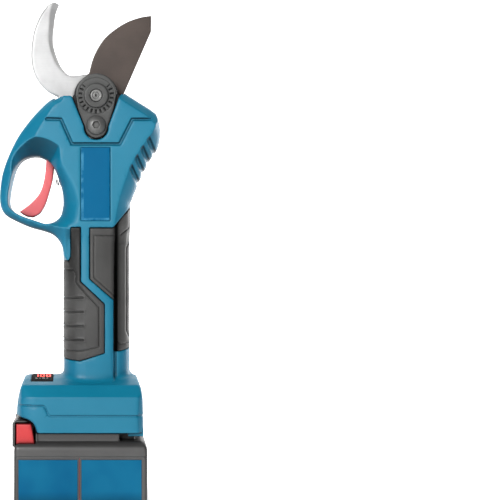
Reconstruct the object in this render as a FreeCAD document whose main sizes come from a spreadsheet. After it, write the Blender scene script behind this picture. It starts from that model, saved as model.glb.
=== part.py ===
import FreeCAD, Part
import math
import os
import sys

import Sketcher
from FreeCAD import Placement, Rotation, Vector

# Battery electric pruner. Millimetres, +Z up, origin at the middle of the battery's underside.
# +X is the palm side of the handle, -X the finger side, and -Y the left side of the tool.

os.makedirs("parts", exist_ok=True)
doc = FreeCAD.newDocument("pruner")

SIZES = {
    # main axes
    "axis_x": 11.5,             # motor, gearbox and pinion axis, and the blade pivot
    "pivot_z": 300.0,
    # shell
    "head_half": 21.5,
    "guard_half": 14.0,
    "handle_half": 20.0,
    "handle_front": -12.6,
    "handle_back": 36.8,
    "handle_corner": 14.0,
    "grip_depth": 1.6,
    "base_half": 35.0,
    "base_left": -47.0,
    "base_right": 45.6,
    "base_bottom": 53.0,
    "base_shoulder": 80.0,
    "base_top": 92.6,
    "bay_front": 15.8,          # half widths of the head bay, left and right
    "bay_back": 14.8,
    "motor_bay_radius": 17.2,
    "plate_depth": 0.7,
    # blades and pivot
    "hook_thickness": 4.0,
    "blade_thickness": 3.3,
    "blade_gap": 0.2,
    "blade_hub_radius": 16.5,
    "bushing_radius": 6.5,
    "running_fit": 0.05,
    "bolt_radius": 4.5,
    "nut_radius": 13.4,
    "boss_radius": 8.9,
    "nut_teeth": 22,
    "lock_screw_z": 278.2,
    "lock_head_radius": 7.4,
    # bevel drive
    "bevel_module": 1.5,
    "bevel_cone_height": 30.0,
    "bevel_face_scale": 0.741,
    "pinion_teeth": 10,
    "sector_step": 9.0,
    "sector_teeth": 9,
    "sector_radius": 31.2,
    # planetary reduction
    "planet_module": 0.75,
    "planet_teeth": 12,
    "ring_teeth": 36,
    "planet_distance": 9.0,
    "planet_bottom": 232.5,
    "planet_height": 7.0,
    "planet_pin_radius": 1.5,
    # motor
    "motor_radius": 17.0,
    "motor_bottom": 160.0,
    "motor_top": 225.5,
    "rotor_radius": 8.0,
    "rotor_shaft_radius": 2.5,
    # trigger
    "trigger_x": -21.0,
    "trigger_z": 262.0,
    "trigger_width": 10.0,
    "trigger_pin_radius": 1.5,
    # return springs
    "spring_radius": 2.2,
    "spring_wire": 0.35,
    "spring_pitch": 2.0,
    "spring_length": 8.0,
    # battery
    "battery_half_x": 48.4,
    "battery_half_y": 37.0,
    "battery_wall": 2.0,
    "battery_seam": 36.5,
    "battery_shoulder": 43.7,
    "cell_radius": 9.15,
    "cell_length": 65.0,
    "cell_pitch": 18.4,
    "rail_half": 26.4,
    "neck_half": 21.5,
    "rail_top": 62.1,
    # fasteners
    "case_screw_radius": 1.5,
    "case_screw_head": 2.8,
}

sheet = doc.addObject("Spreadsheet::Sheet", "dims")
for row, (alias, value) in enumerate(SIZES.items(), 1):
    sheet.set(f"A{row}", alias)
    sheet.set(f"B{row}", str(value))
    sheet.setAlias(f"B{row}", alias)
doc.recompute()

UP = Vector(0, 0, 1)
RIGHTWARDS = Vector(0, 1, 0)
SUBPARTS = {}


def size(alias):
    """The value of a driving dimension, read from the sheet."""
    return float(sheet.get(alias))


AXIS_X = size("axis_x")
PIVOT_Z = size("pivot_z")
PIVOT = Vector(AXIS_X, 0, PIVOT_Z)


# ---------------------------------------------------------------- building blocks

def finish(label, obj):
    """Name an object as one sub-part of the tool."""
    obj.Label = label
    SUBPARTS[label] = obj
    return obj


def box(name, x, y, z):
    """A box from its lowest and highest X, Y and Z."""
    obj = doc.addObject("Part::Box", name)
    obj.Length = x[1] - x[0]
    obj.Width = y[1] - y[0]
    obj.Height = z[1] - z[0]
    obj.Placement = Placement(Vector(x[0], y[0], z[0]), Rotation())
    return obj


def cylinder(name, radius, height, base, axis=UP):
    """A cylinder; radius and height are numbers or expressions on the sheet."""
    obj = doc.addObject("Part::Cylinder", name)
    for prop, value in (("Radius", radius), ("Height", height)):
        if isinstance(value, str):
            obj.setExpression(prop, value)
        else:
            setattr(obj, prop, value)
    obj.Placement = Placement(Vector(*base), Rotation(UP, axis))
    return obj


def fuse(name, shapes):
    obj = doc.addObject("Part::MultiFuse", name)
    obj.Shapes = shapes
    return obj


def cut(name, base, tools):
    obj = doc.addObject("Part::Cut", name)
    obj.Base = base
    obj.Tool = tools[0] if len(tools) == 1 else fuse(name + "_tools", tools)
    return obj


def compound(name, links):
    obj = doc.addObject("Part::Compound", name)
    obj.Links = links
    return obj


def line(*points):
    """Straight edges through points given in a sketch's own plane."""
    ends = [Vector(a, b, 0) for a, b in points]
    return [Part.LineSegment(a, b) for a, b in zip(ends, ends[1:])]


def curve(*points):
    """One smooth spline through points."""
    spline = Part.BSplineCurve()
    spline.interpolate([Vector(a, b, 0) for a, b in points])
    return [spline]


def arc(a, b, c):
    """A circular arc through three points."""
    ends = [Vector(p[0], p[1], 0) for p in (a, b, c)]
    return [Part.Arc(*ends)]


def circle(x, z, radius):
    return [Part.Circle(Vector(x, z, 0), UP, radius)]


def side_sketch(name, edges, y=0.0):
    """A sketch seen from the tool's left side: its x is X and its y is Z."""
    sketch = doc.addObject("Sketcher::SketchObject", name)
    sketch.Placement = Placement(Vector(0, y, 0), Rotation(Vector(1, 0, 0), 90))
    sketch.addGeometry(edges, False)
    return sketch


def plan_sketch(name, edges, z):
    """A sketch seen from above."""
    sketch = doc.addObject("Sketcher::SketchObject", name)
    sketch.Placement = Placement(Vector(0, 0, z), Rotation())
    sketch.addGeometry(edges, False)
    return sketch


def extrude(name, sketch, direction, length):
    obj = doc.addObject("Part::Extrusion", name)
    obj.Base = sketch
    obj.DirMode = "Custom"
    obj.Dir = direction
    obj.Solid = True
    if isinstance(length, str):
        obj.setExpression("LengthFwd", length)
    else:
        obj.LengthFwd = length
    return obj


def slab(name, edges, y_start, thickness):
    """An outline in the X-Z plane, extruded towards +Y from y_start."""
    return extrude(name, side_sketch(name + "_sketch", edges, y_start), RIGHTWARDS, thickness)


def feature(label, shape, placement=None):
    """A sub-part whose shape is made with Part's own functions."""
    obj = doc.addObject("Part::Feature", label)
    obj.Shape = shape
    obj.Placement = placement or Placement()
    return finish(label, obj)


def padded_body(label, edges, thickness, y_middle, bores=()):
    """A PartDesign body: an X-Z outline padded both ways about y_middle, with round bores."""
    body = doc.addObject("PartDesign::Body", label)
    plane = next(f for f in body.Origin.OriginFeatures if f.Role == "XZ_Plane")
    sketch = body.newObject("Sketcher::SketchObject", label + "_outline")
    sketch.AttachmentSupport = [(plane, "")]
    sketch.MapMode = "FlatFace"
    sketch.addGeometry(edges, False)
    for x, z, radius in bores:
        sketch.addGeometry(circle(x, z, size_of(radius)), False)
        index = sketch.GeometryCount - 1
        sketch.addConstraint(Sketcher.Constraint("Radius", index, size_of(radius)))
        if isinstance(radius, str):
            constraint = f"bore_{index}"
            sketch.renameConstraint(sketch.ConstraintCount - 1, constraint)
            sketch.setExpression("Constraints." + constraint, radius)
    pad = body.newObject("PartDesign::Pad", label + "_pad")
    pad.Profile = sketch
    pad.Midplane = True
    if isinstance(thickness, str):
        pad.setExpression("Length", thickness)
    else:
        pad.Length = thickness
    body.Placement = Placement(Vector(0, y_middle, 0), Rotation())
    return body


def size_of(expression):
    """A number, or the value of a sum of sheet cells such as 'dims.a + dims.b'."""
    if isinstance(expression, str):
        return sum(size(term.strip().removeprefix("dims.")) for term in expression.split("+"))
    return expression


def spring_coil(label, base, axis):
    """A round wire swept along a helix, from base along axis."""
    radius = size("spring_radius")
    helix = Part.makeHelix(size("spring_pitch"), size("spring_length"), radius)
    profile = Part.Wire(Part.makeCircle(size("spring_wire"), Vector(radius, 0, 0), RIGHTWARDS))
    coil = Part.Wire(helix.Edges).makePipeShell([profile], True, True)
    return feature(label, coil, Placement(Vector(*base), Rotation(UP, Vector(*axis))))


# ---------------------------------------------------------------- housing halves

HEAD_TOP = line((-23.7, 296.6), (-17.0, 299.8), (-6.5, 299.8), (30.7, 303.5), (51.6, 290.1))
HEAD_BACK = curve((51.6, 290.1), (57.2, 285.2), (59.7, 275.5), (57.6, 262.0))
PALM = curve((57.6, 262.0), (50.9, 251.4), (43.6, 236.5), (38.6, 224.0), (36.8, 219.0))
NECK = line((36.8, 219.0), (24.5, 203.6), (-12.2, 203.6), (-12.2, 207.0))
# Inside the trigger loop, which is cut out of the head and the guard together.
LOOP_SIDE = line((-12.2, 207.0), (-18.0, 217.0), (-24.0, 236.0), (-33.0, 248.0), (-46.8, 269.6))
HEAD_FRONT = curve((-46.8, 269.6), (-40.5, 278.7), (-33.0, 287.6), (-23.7, 296.6))
HEAD = HEAD_TOP + HEAD_BACK + PALM + NECK + LOOP_SIDE + HEAD_FRONT

GUARD = (
    curve((-11.0, 184.0), (-16.2, 193.4), (-37.2, 202.3), (-55.2, 211.4), (-60.2, 222.0))
    + curve((-60.2, 222.0), (-58.1, 242.7), (-46.8, 269.6))
    + line((-46.8, 269.6), (-11.0, 262.0), (-11.0, 184.0))
)
LOOP = curve(
    (-12.8, 219.0), (-13.6, 229.2), (-16.2, 238.1), (-20.6, 248.6), (-28.9, 254.9),
    (-45.3, 251.6), (-50.9, 241.0), (-53.9, 223.2), (-44.1, 211.3), (-25.9, 205.3),
    (-15.0, 211.0), (-12.8, 219.0),
)

HEAD_BAY = line(
    (-21.0, 276.0), (-12.0, 266.4), (35.0, 266.4), (44.0, 276.0), (44.0, 290.0),
    (32.0, 301.0), (32.0, 308.0), (-14.0, 308.0), (-20.0, 297.0), (-21.0, 276.0),
)
RECESS = (
    line((-6.4, 308.0), (-6.4, 298.7), (2.4, 277.0))
    + arc((2.4, 277.0), (11.4, 267.2), (20.4, 277.0))
    + line((20.4, 277.0), (28.6, 299.4), (31.0, 303.0), (31.0, 308.0), (-6.4, 308.0))
)
BUTTON_ARCH = (
    line((-50.0, 52.0), (-30.6, 52.0), (-32.2, 55.4))
    + curve((-32.2, 55.4), (-34.6, 59.7), (-39.0, 62.6), (-50.0, 64.0))
    + line((-50.0, 64.0), (-50.0, 52.0))
)
FRONT_GRIP = line(
    (-14.0, 178.0), (-8.8, 178.0), (-7.5, 181.0), (-7.5, 202.6), (0.0, 202.6), (0.0, 162.6),
    (17.6, 146.0), (17.6, 109.7), (-0.5, 103.8), (-14.0, 105.3), (-14.0, 178.0),
)
REAR_GRIP = line(
    (6.5, 202.2), (23.9, 202.2), (38.5, 220.4), (38.5, 113.0), (29.1, 110.8),
    (24.2, 110.8), (24.2, 148.9), (6.5, 164.4), (6.5, 202.2),
)
# X and Z of the screws that close the housing, which enter from the right half.
CASE_SCREWS = (
    (-7.4, 125.0), (-7.4, 171.0), (31.4, 125.0), (31.4, 190.0), (-13.5, 201.0),
    (-36.0, 269.0), (48.0, 259.0), (50.0, 280.0), (-42.5, 72.0), (42.5, 72.0),
)
SCREW_SEAT_Y = 8.0
SCREW_TIP_Y = -10.0
GRIP_BOTTOM = 100.0
GRIP_TOP = 220.5
GRIP_SEAM = 3.0         # half the blue strip between the left and right pads
WELL_OUTSIDE = 40.0     # beyond the widest face of the housing
CASE_HEAD_HEIGHT = 2.2
HANDLE_Z = (90.0, 222.0)
FOOT_CORNER = 5.0
ROOF_X = (-38.5, 38.4)
ROOF_HALF = 25.0
HEEL_TAB = ((34.4, 45.6), (0, 31.0), (50.3, 53.0))
PLATE_X = (0.0, 21.7)
PLATE_Z = (207.4, 261.5)
PIN_HOLE_Y = -9.0
PIN_HOLE_LENGTH = 18.0
# Round spaces about the motor's axis: name, radius, height and lowest Z.
ROUND_BAYS = (
    ("motor_bay", "dims.motor_bay_radius", 126.0, 120.0),
    ("bearing_bay", 9.6, 18.0, 245.0),
    ("pinion_bay", 9.4, 12.0, 262.0),
    ("wire_bay", 13.0, 42.0, 80.0),
)
# Square spaces: name, X range, distances from the parting plane and Z range.
BOX_BAYS = (
    ("trigger_slot", (-31.0, -9.5), (-1, 5.8), (228.0, 268.5)),
    ("switch_bay", (-12.5, -3.5), (-1, 3.6), (247.6, 266.5)),
    ("board_bay", (-38.0, 38.0), (-1, 28.0), (66.0, 83.0)),
    ("rail_bay", (-50.0, 40.0), (-1, 27.0), (56.2, 62.5)),
    ("neck_bay", (-50.0, 40.0), (-1, 22.0), (50.0, 57.0)),
    ("terminal_port", (21.8, 38.2), (-1, 17.2), (62.0, 67.0)),
    ("display_bay", (-36.7, -20.3), (-1, 19.7), (82.0, 96.0)),
)


def handle_section(side, inset):
    """Half of the handle's rounded section, from the parting plane outwards."""
    front = size("handle_front") + inset
    back = size("handle_back") - inset
    half = size("handle_half") - inset
    corner = size("handle_corner") - inset
    bend = corner * (1 - math.sqrt(0.5))
    return (
        line((front, 0), (front, side * (half - corner)))
        + arc(
            (front, side * (half - corner)),
            (front + bend, side * (half - bend)),
            (front + corner, side * half),
        )
        + line((front + corner, side * half), (back - corner, side * half))
        + arc(
            (back - corner, side * half),
            (back - bend, side * (half - bend)),
            (back, side * (half - corner)),
        )
        + line((back, side * (half - corner)), (back, 0), (front, 0))
    )


def half_rectangle(side, left, right, half, corner):
    """Half of a rectangle with two cut corners, from the parting plane outwards."""
    return line(
        (left, 0), (left, side * (half - corner)), (left + corner, side * half),
        (right - corner, side * half), (right, side * (half - corner)), (right, 0), (left, 0),
    )


def side_slab(name, edges, side, near, far):
    """An X-Z outline extruded between two distances from the parting plane."""
    start = side * near if side > 0 else side * far
    return slab(name, edges, start, far - near)


def side_box(name, side, x, y, z):
    """A box whose Y range is given as distances from the parting plane."""
    ends = sorted((side * y[0], side * y[1]))
    return box(name, x, ends, z)


def grip_pad(label, side, outline):
    """A rubber pad let into the handle: a skin of the handle's own section."""
    outer = plan_sketch(f"{label}_outer", handle_section(side, 0), GRIP_BOTTOM)
    inner = plan_sketch(
        f"{label}_inner", handle_section(side, size("grip_depth")), GRIP_BOTTOM)
    height = GRIP_TOP - GRIP_BOTTOM
    skin = extrude(f"{label}_skin", outer, UP, height)
    core = extrude(f"{label}_core", inner, UP, height)
    shell = cut(f"{label}_shell", skin, [core])
    window = side_slab(f"{label}_window", outline, side, GRIP_SEAM, WELL_OUTSIDE)
    pad = doc.addObject("Part::Common", f"{label}_pad")
    pad.Base = shell
    pad.Tool = window
    return finish(label, pad)


def screw_cutters(tag, side):
    """Holes for the closing screws: pilot holes on the left, counterbores on the right."""
    tools = []
    for i, (x, z) in enumerate(CASE_SCREWS):
        base = (x, 0, z) if side > 0 else (x, SCREW_TIP_Y, z)
        depth = WELL_OUTSIDE if side > 0 else -SCREW_TIP_Y
        tools.append(
            cylinder(f"{tag}_pilot_{i}", "dims.case_screw_radius", depth, base, RIGHTWARDS)
        )
        if side > 0:
            seat = (x, SCREW_SEAT_Y, z)
            tools.append(
                cylinder(f"{tag}_seat_{i}", "dims.case_screw_head", WELL_OUTSIDE, seat, RIGHTWARDS)
            )
    return tools


def housing_half(tag, side, grips, plate):
    """One clamshell half. side is -1 for the left half and +1 for the right half."""
    head = side_slab(f"{tag}_head", HEAD, side, 0, size("head_half"))
    guard = side_slab(f"{tag}_guard", GUARD, side, 0, size("guard_half"))
    handle = extrude(
        f"{tag}_handle",
        plan_sketch(f"{tag}_handle_section", handle_section(side, 0), HANDLE_Z[0]),
        UP, HANDLE_Z[1] - HANDLE_Z[0],
    )
    bottom, shoulder = size("base_bottom"), size("base_shoulder")
    foot_outline = half_rectangle(
        side, size("base_left"), size("base_right"), size("base_half"), FOOT_CORNER)
    foot = extrude(
        f"{tag}_foot", plan_sketch(f"{tag}_foot_section", foot_outline, bottom),
        UP, shoulder - bottom,
    )
    roof = doc.addObject("Part::Loft", f"{tag}_roof")
    roof.Sections = [
        plan_sketch(f"{tag}_roof_low", foot_outline, shoulder),
        plan_sketch(
            f"{tag}_roof_high", half_rectangle(side, *ROOF_X, ROOF_HALF, FOOT_CORNER),
            size("base_top")),
    ]
    roof.Solid = True
    roof.Ruled = True
    tab = side_box(f"{tag}_tab", side, *HEEL_TAB)
    outer = fuse(f"{tag}_outer", [head, guard, handle, foot, roof, tab])

    bay = size("bay_front") if side < 0 else size("bay_back")
    tools = [
        side_slab(f"{tag}_loop", LOOP, side, -1, WELL_OUTSIDE),
        side_slab(f"{tag}_bay", HEAD_BAY, side, -1, bay),
        side_slab(f"{tag}_recess", RECESS, side, bay - 1, WELL_OUTSIDE),
        side_slab(f"{tag}_arch", BUTTON_ARCH, side, -1, WELL_OUTSIDE),
        cylinder(
            f"{tag}_pin_hole", "dims.trigger_pin_radius", PIN_HOLE_LENGTH,
            (size("trigger_x"), PIN_HOLE_Y, size("trigger_z")), RIGHTWARDS,
        ),
        plate,
        *grips,
        *screw_cutters(tag, side),
    ]
    for name, radius, height, low in ROUND_BAYS:
        tools.append(cylinder(f"{tag}_{name}", radius, height, (AXIS_X, 0, low)))
    for name, x, y, z in BOX_BAYS:
        tools.append(side_box(f"{tag}_{name}", side, x, y, z))
    return finish(tag, cut(tag, outer, tools))


def nameplate(label, side):
    """The blank plate let flush into the side of the neck."""
    half = size("head_half")
    return finish(label, side_box(
        label, side, PLATE_X, (half - size("plate_depth"), half), PLATE_Z))


for hand, side in (("left", -1), ("right", 1)):
    pads = [
        grip_pad(f"front_grip_{hand}", side, FRONT_GRIP),
        grip_pad(f"rear_grip_{hand}", side, REAR_GRIP),
    ]
    plate = nameplate(f"nameplate_{hand}", side)
    housing_half(f"housing_{hand}", side, pads, plate)

case_screws = []
for i, (x, z) in enumerate(CASE_SCREWS):
    length = SCREW_SEAT_Y - SCREW_TIP_Y
    shank = cylinder(
        f"case_shank_{i}", "dims.case_screw_radius", length, (x, SCREW_TIP_Y, z), RIGHTWARDS)
    head = cylinder(
        f"case_head_{i}", "dims.case_screw_head", CASE_HEAD_HEIGHT, (x, SCREW_SEAT_Y, z),
        RIGHTWARDS)
    case_screws.append(fuse(f"case_screw_{i}", [shank, head]))
finish("housing_screws", compound("housing_screws", case_screws))


# ---------------------------------------------------------------- blades

HOOK_Y = size("hook_thickness") / 2
BLADE_Y = -size("blade_gap") - size("blade_thickness") / 2
HOOK_SCREWS = ((-9.0, 287.0), (31.0, 287.0))
SMALL_SHANK = 2.0       # radii shared by the hook's and the gear case's screws
SMALL_HEAD = 3.4
HOOK_SHANK_LENGTH = 7.5
HOOK_HEAD_HEIGHT = 2.0
SECTOR_SHANK = 1.6
SECTOR_HEAD = 2.6

HOOK = (
    curve(
        (-17.1, 301.5), (-26.2, 306.7), (-33.6, 315.9), (-36.9, 326.0), (-37.3, 338.0),
        (-35.2, 351.6), (-30.4, 363.2), (-25.2, 370.5),
    )
    + curve((-25.2, 370.5), (-20.2, 373.0), (-16.2, 371.8))
    + curve(
        (-16.2, 371.8), (-18.9, 364.5), (-20.2, 355.0), (-21.0, 345.0), (-20.1, 338.0),
        (-17.4, 330.0), (-13.6, 322.8), (-7.3, 318.0), (6.3, 319.3),
    )
    + curve((6.3, 319.3), (20.0, 317.2), (29.0, 308.0), (32.0, 297.0))
    + line((32.0, 297.0), (37.0, 290.0), (37.0, 281.0), (-10.0, 281.0), (-15.5, 286.0),
           (-15.5, 297.0), (-17.1, 301.5))
)
hook_bores = [(AXIS_X, PIVOT_Z, "dims.bushing_radius")]
hook_bores += [(x, z, SMALL_SHANK) for x, z in HOOK_SCREWS]
finish("fixed_blade", padded_body("fixed_blade", HOOK, "dims.hook_thickness", HOOK_Y, hook_bores))


def on_circle(radius, degrees, centre=PIVOT):
    """A point on a circle about the pivot, in the side view."""
    angle = math.radians(degrees)
    return (centre.x + radius * math.cos(angle), centre.z + radius * math.sin(angle))


HUB_R = size("blade_hub_radius")
HUB_EXIT = on_circle(HUB_R, -29.4)
HUB_ENTRY = on_circle(HUB_R, 146.0)
BLADE = (
    curve(
        (6.3, 319.2), (8.9, 329.0), (13.1, 338.0), (19.9, 347.0), (32.4, 356.1),
        (43.9, 360.6), (53.1, 362.2),
    )
    + line((53.1, 362.2), (52.9, 350.2), (32.6, 303.8), HUB_EXIT)
    + arc(HUB_EXIT, on_circle(HUB_R, -120.0), HUB_ENTRY)
    + line(HUB_ENTRY, (6.3, 319.2))
)
SECTOR_SCREWS = [on_circle(10.0, angle) for angle in (30.0, 150.0, 270.0)]
blade_bores = [(AXIS_X, PIVOT_Z, "dims.bushing_radius + dims.running_fit")]
blade_bores += [(x, z, SECTOR_SHANK) for x, z in SECTOR_SCREWS]
finish(
    "moving_blade",
    padded_body("moving_blade", BLADE, "dims.blade_thickness", BLADE_Y, blade_bores),
)

hook_screws = []
for i, (x, z) in enumerate(HOOK_SCREWS):
    shank = cylinder(f"hook_shank_{i}", SMALL_SHANK, HOOK_SHANK_LENGTH, (x, 0, z), RIGHTWARDS)
    head = cylinder(
        f"hook_head_{i}", SMALL_HEAD, HOOK_HEAD_HEIGHT, (x, -HOOK_HEAD_HEIGHT, z), RIGHTWARDS)
    hook_screws.append(fuse(f"hook_screw_{i}", [shank, head]))
finish("hook_screws", compound("hook_screws", hook_screws))


# ---------------------------------------------------------------- pivot and gear case

CASE_PILLARS = ((-14.5, 277.5), (37.5, 277.5))
FRONT_PLATE_Y = (-15.4, -11.0)
BACK_PLATE_Y = (4.0, 8.0)
PIVOT_BACK_Y = 9.2
CASE_DISC_RADIUS = 16.4
PILLAR_LENGTH = 15.5
CASE_HEAD_Y = -15.3     # outer faces of the gear case's sunk screw heads
CASE_SHANK_LENGTH = 8.3
LOCK_SHANK = 3.0
BOLT_TIP_Y = -20.4
NUT_FACE_Y = -18.0
NUT_THICKNESS = 2.6
BOSS_HEIGHT = 1.8
WASHER_RADIUS = 9.4
HEXAGON_RADIUS = 8.0
HEXAGON_HEIGHT = 5.5
BUSHING_Y = (-11.0, 4.0)
SERRATION = (4.0, 1.0, 1.1)     # length, depth and width of one notch
SERRATION_START = 10.6
LOCK_PLATE_THICKNESS = 2.4
LOCK_PLATE_Y = -16.7
LOCK_HEAD_HEIGHT = 3.2
LOCK_HEAD_Y = -21.1
LOCK_DOME = 1.4
LOCK_SHANK_LENGTH = 6.8
SOCKET_RADIUS = 2.9
SOCKET_DEPTH = 1.8


def case_plate(name, outline, y_range):
    """One wall of the gear case: a flat plate with a round top about the pivot."""
    thickness = y_range[1] - y_range[0]
    plate = slab(f"{name}_plate", outline, y_range[0], thickness)
    disc = cylinder(
        f"{name}_disc", CASE_DISC_RADIUS, thickness, (AXIS_X, y_range[0], PIVOT_Z), RIGHTWARDS)
    return [plate, disc]


def through_holes(name, radius, points, y_start, length):
    return [
        cylinder(f"{name}_{i}", radius, length, (x, y_start, z), RIGHTWARDS)
        for i, (x, z) in enumerate(points)
    ]


front_outline = line(
    (-19.5, 281.0), (-19.0, 275.0), (-15.0, 271.5), (38.0, 271.5), (42.0, 275.0),
    (42.5, 281.0), (28.0, 301.0), (-5.0, 301.0), (-19.5, 281.0),
)
finish("gear_case_front", cut(
    "gear_case_front",
    fuse("gear_front_body", case_plate("gear_front", front_outline, FRONT_PLATE_Y)),
    through_holes("gear_front_bolt", "dims.bolt_radius", [(AXIS_X, PIVOT_Z)], -20, 20)
    + through_holes("gear_front_lock", LOCK_SHANK, [(AXIS_X, size("lock_screw_z"))], -20, 20)
    + through_holes("gear_front_screw", SMALL_SHANK, CASE_PILLARS, -20, 20)
    + through_holes(
        "gear_front_sink", SMALL_HEAD, CASE_PILLARS, -20, 20 + CASE_HEAD_Y + HOOK_HEAD_HEIGHT),
))

back_outline = line(
    (-19.0, 283.0), (-19.0, 275.0), (-15.0, 272.5), (-10.0, 272.5), (-4.0, 281.0),
    (27.0, 281.0), (33.0, 272.5), (38.0, 272.5), (42.0, 275.0), (42.0, 283.0),
    (28.0, 301.0), (-5.0, 301.0), (-19.0, 283.0),
)
pillars = through_holes(
    "gear_pillar", LOCK_SHANK, CASE_PILLARS, FRONT_PLATE_Y[1], PILLAR_LENGTH)
finish("gear_case_back", cut(
    "gear_case_back",
    fuse("gear_back_body", case_plate("gear_back", back_outline, BACK_PLATE_Y) + pillars),
    through_holes("gear_back_bolt", "dims.bolt_radius", [(AXIS_X, PIVOT_Z)], 0, 20)
    + through_holes("gear_back_hook", SMALL_SHANK, HOOK_SCREWS, 0, HOOK_SHANK_LENGTH)
    + through_holes("gear_back_screw", SMALL_SHANK, CASE_PILLARS, -12, 7.0),
))

gear_case_screws = []
for i, (x, z) in enumerate(CASE_PILLARS):
    head = cylinder(
        f"gear_head_{i}", SMALL_HEAD, HOOK_HEAD_HEIGHT, (x, CASE_HEAD_Y, z), RIGHTWARDS)
    shank = cylinder(
        f"gear_shank_{i}", SMALL_SHANK, CASE_SHANK_LENGTH,
        (x, CASE_HEAD_Y + HOOK_HEAD_HEIGHT, z), RIGHTWARDS)
    gear_case_screws.append(fuse(f"gear_screw_{i}", [head, shank]))
finish("gear_case_screws", compound("gear_case_screws", gear_case_screws))

bolt_length = PIVOT_BACK_Y - BOLT_TIP_Y
shank = cylinder(
    "bolt_shank", "dims.bolt_radius", bolt_length, (AXIS_X, BOLT_TIP_Y, PIVOT_Z), RIGHTWARDS)
hexagon = doc.addObject("Part::Prism", "bolt_hexagon")
hexagon.Polygon = 6
hexagon.Circumradius = HEXAGON_RADIUS
hexagon.Height = HEXAGON_HEIGHT
hexagon.Placement = Placement(Vector(AXIS_X, PIVOT_BACK_Y, PIVOT_Z), Rotation(UP, RIGHTWARDS))
finish("pivot_bolt", fuse("pivot_bolt", [shank, hexagon]))

washer_disc = cylinder(
    "washer_disc", WASHER_RADIUS, PIVOT_BACK_Y - BACK_PLATE_Y[1],
    (AXIS_X, BACK_PLATE_Y[1], PIVOT_Z), RIGHTWARDS)
finish("pivot_washer", cut(
    "pivot_washer", washer_disc,
    through_holes("washer_bore", "dims.bolt_radius", [(AXIS_X, PIVOT_Z)], 7, 4)))

bushing_tube = cylinder(
    "bushing_tube", "dims.bushing_radius", BUSHING_Y[1] - BUSHING_Y[0],
    (AXIS_X, BUSHING_Y[0], PIVOT_Z), RIGHTWARDS)
finish("pivot_bushing", cut(
    "pivot_bushing", bushing_tube,
    through_holes("bushing_bore", "dims.bolt_radius", [(AXIS_X, PIVOT_Z)], -12, 17)))

nut_disc = cylinder(
    "nut_disc", "dims.nut_radius", NUT_THICKNESS, (AXIS_X, NUT_FACE_Y, PIVOT_Z), RIGHTWARDS)
nut_boss = cylinder(
    "nut_boss", "dims.boss_radius", BOSS_HEIGHT + 0.2, (AXIS_X, NUT_FACE_Y - BOSS_HEIGHT, PIVOT_Z),
    RIGHTWARDS)
serrations = []
for i in range(int(size("nut_teeth"))):
    groove = doc.addObject("Part::Box", f"serration_{i}")
    groove.Length, groove.Width, groove.Height = SERRATION
    turn = Rotation(RIGHTWARDS, i * 360.0 / size("nut_teeth"))
    offset = turn.multVec(Vector(SERRATION_START, 0, -SERRATION[2] / 2))
    face = Vector(AXIS_X, NUT_FACE_Y - SERRATION[1] / 2, PIVOT_Z)
    groove.Placement = Placement(face + offset, turn)
    serrations.append(groove)
finish("pivot_nut", cut(
    "pivot_nut", fuse("nut_body", [nut_disc, nut_boss]),
    through_holes("nut_bore", "dims.bolt_radius", [(AXIS_X, PIVOT_Z)], -21, 8) + serrations))

LOCK_Z = size("lock_screw_z")
LOCK_PLATE = (
    arc((AXIS_X - 15.1, 301.5), (AXIS_X, 316.6), (AXIS_X + 15.1, 301.5))
    + line((AXIS_X + 15.1, 301.5), (AXIS_X + 13.2, 290.0), (AXIS_X + 8.4, 276.6))
    + arc((AXIS_X + 8.4, 276.6), (AXIS_X, 268.4), (AXIS_X - 8.4, 276.6))
    + line((AXIS_X - 8.4, 276.6), (AXIS_X - 13.9, 290.0), (AXIS_X - 15.1, 301.5))
)
finish("lock_plate", padded_body(
    "lock_plate", LOCK_PLATE, LOCK_PLATE_THICKNESS, LOCK_PLATE_Y,
    [(AXIS_X, PIVOT_Z, "dims.nut_radius + dims.running_fit"), (AXIS_X, LOCK_Z, LOCK_SHANK)],
))

lock_head = cylinder(
    "lock_head", "dims.lock_head_radius", LOCK_HEAD_HEIGHT, (AXIS_X, LOCK_HEAD_Y, LOCK_Z),
    RIGHTWARDS)
dome = doc.addObject("Part::Chamfer", "lock_dome")
dome.Base = lock_head
dome.Edges = [(3, LOCK_DOME, LOCK_DOME)]
socket = doc.addObject("Part::Prism", "lock_socket")
socket.Polygon = 6
socket.Circumradius = SOCKET_RADIUS
socket.Height = SOCKET_DEPTH
socket.Placement = Placement(Vector(AXIS_X, LOCK_HEAD_Y, LOCK_Z), Rotation(UP, RIGHTWARDS))
lock_shank = cylinder(
    "lock_shank", LOCK_SHANK, LOCK_SHANK_LENGTH,
    (AXIS_X, LOCK_HEAD_Y + LOCK_HEAD_HEIGHT, LOCK_Z), RIGHTWARDS)
finish("lock_screw", cut("lock_screw", fuse("lock_screw_body", [dome, lock_shank]), [socket]))


# ---------------------------------------------------------------- bevel drive

MODULE = size("bevel_module")
CONE_HEIGHT = size("bevel_cone_height")
FACE_SCALE = size("bevel_face_scale")
PINION_TEETH = int(size("pinion_teeth"))


def polygon_solid(outline_a, outline_b):
    """A solid between two closed polygons with the same number of points."""
    wires = [Part.makePolygon(list(points) + [points[0]]) for points in (outline_a, outline_b)]
    return Part.makeLoft(wires, True, True)


def toward_apex(points, scale):
    """Shrink points towards the pivot, where both bevel axes meet."""
    return [PIVOT + (p - PIVOT) * scale for p in points]


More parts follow.
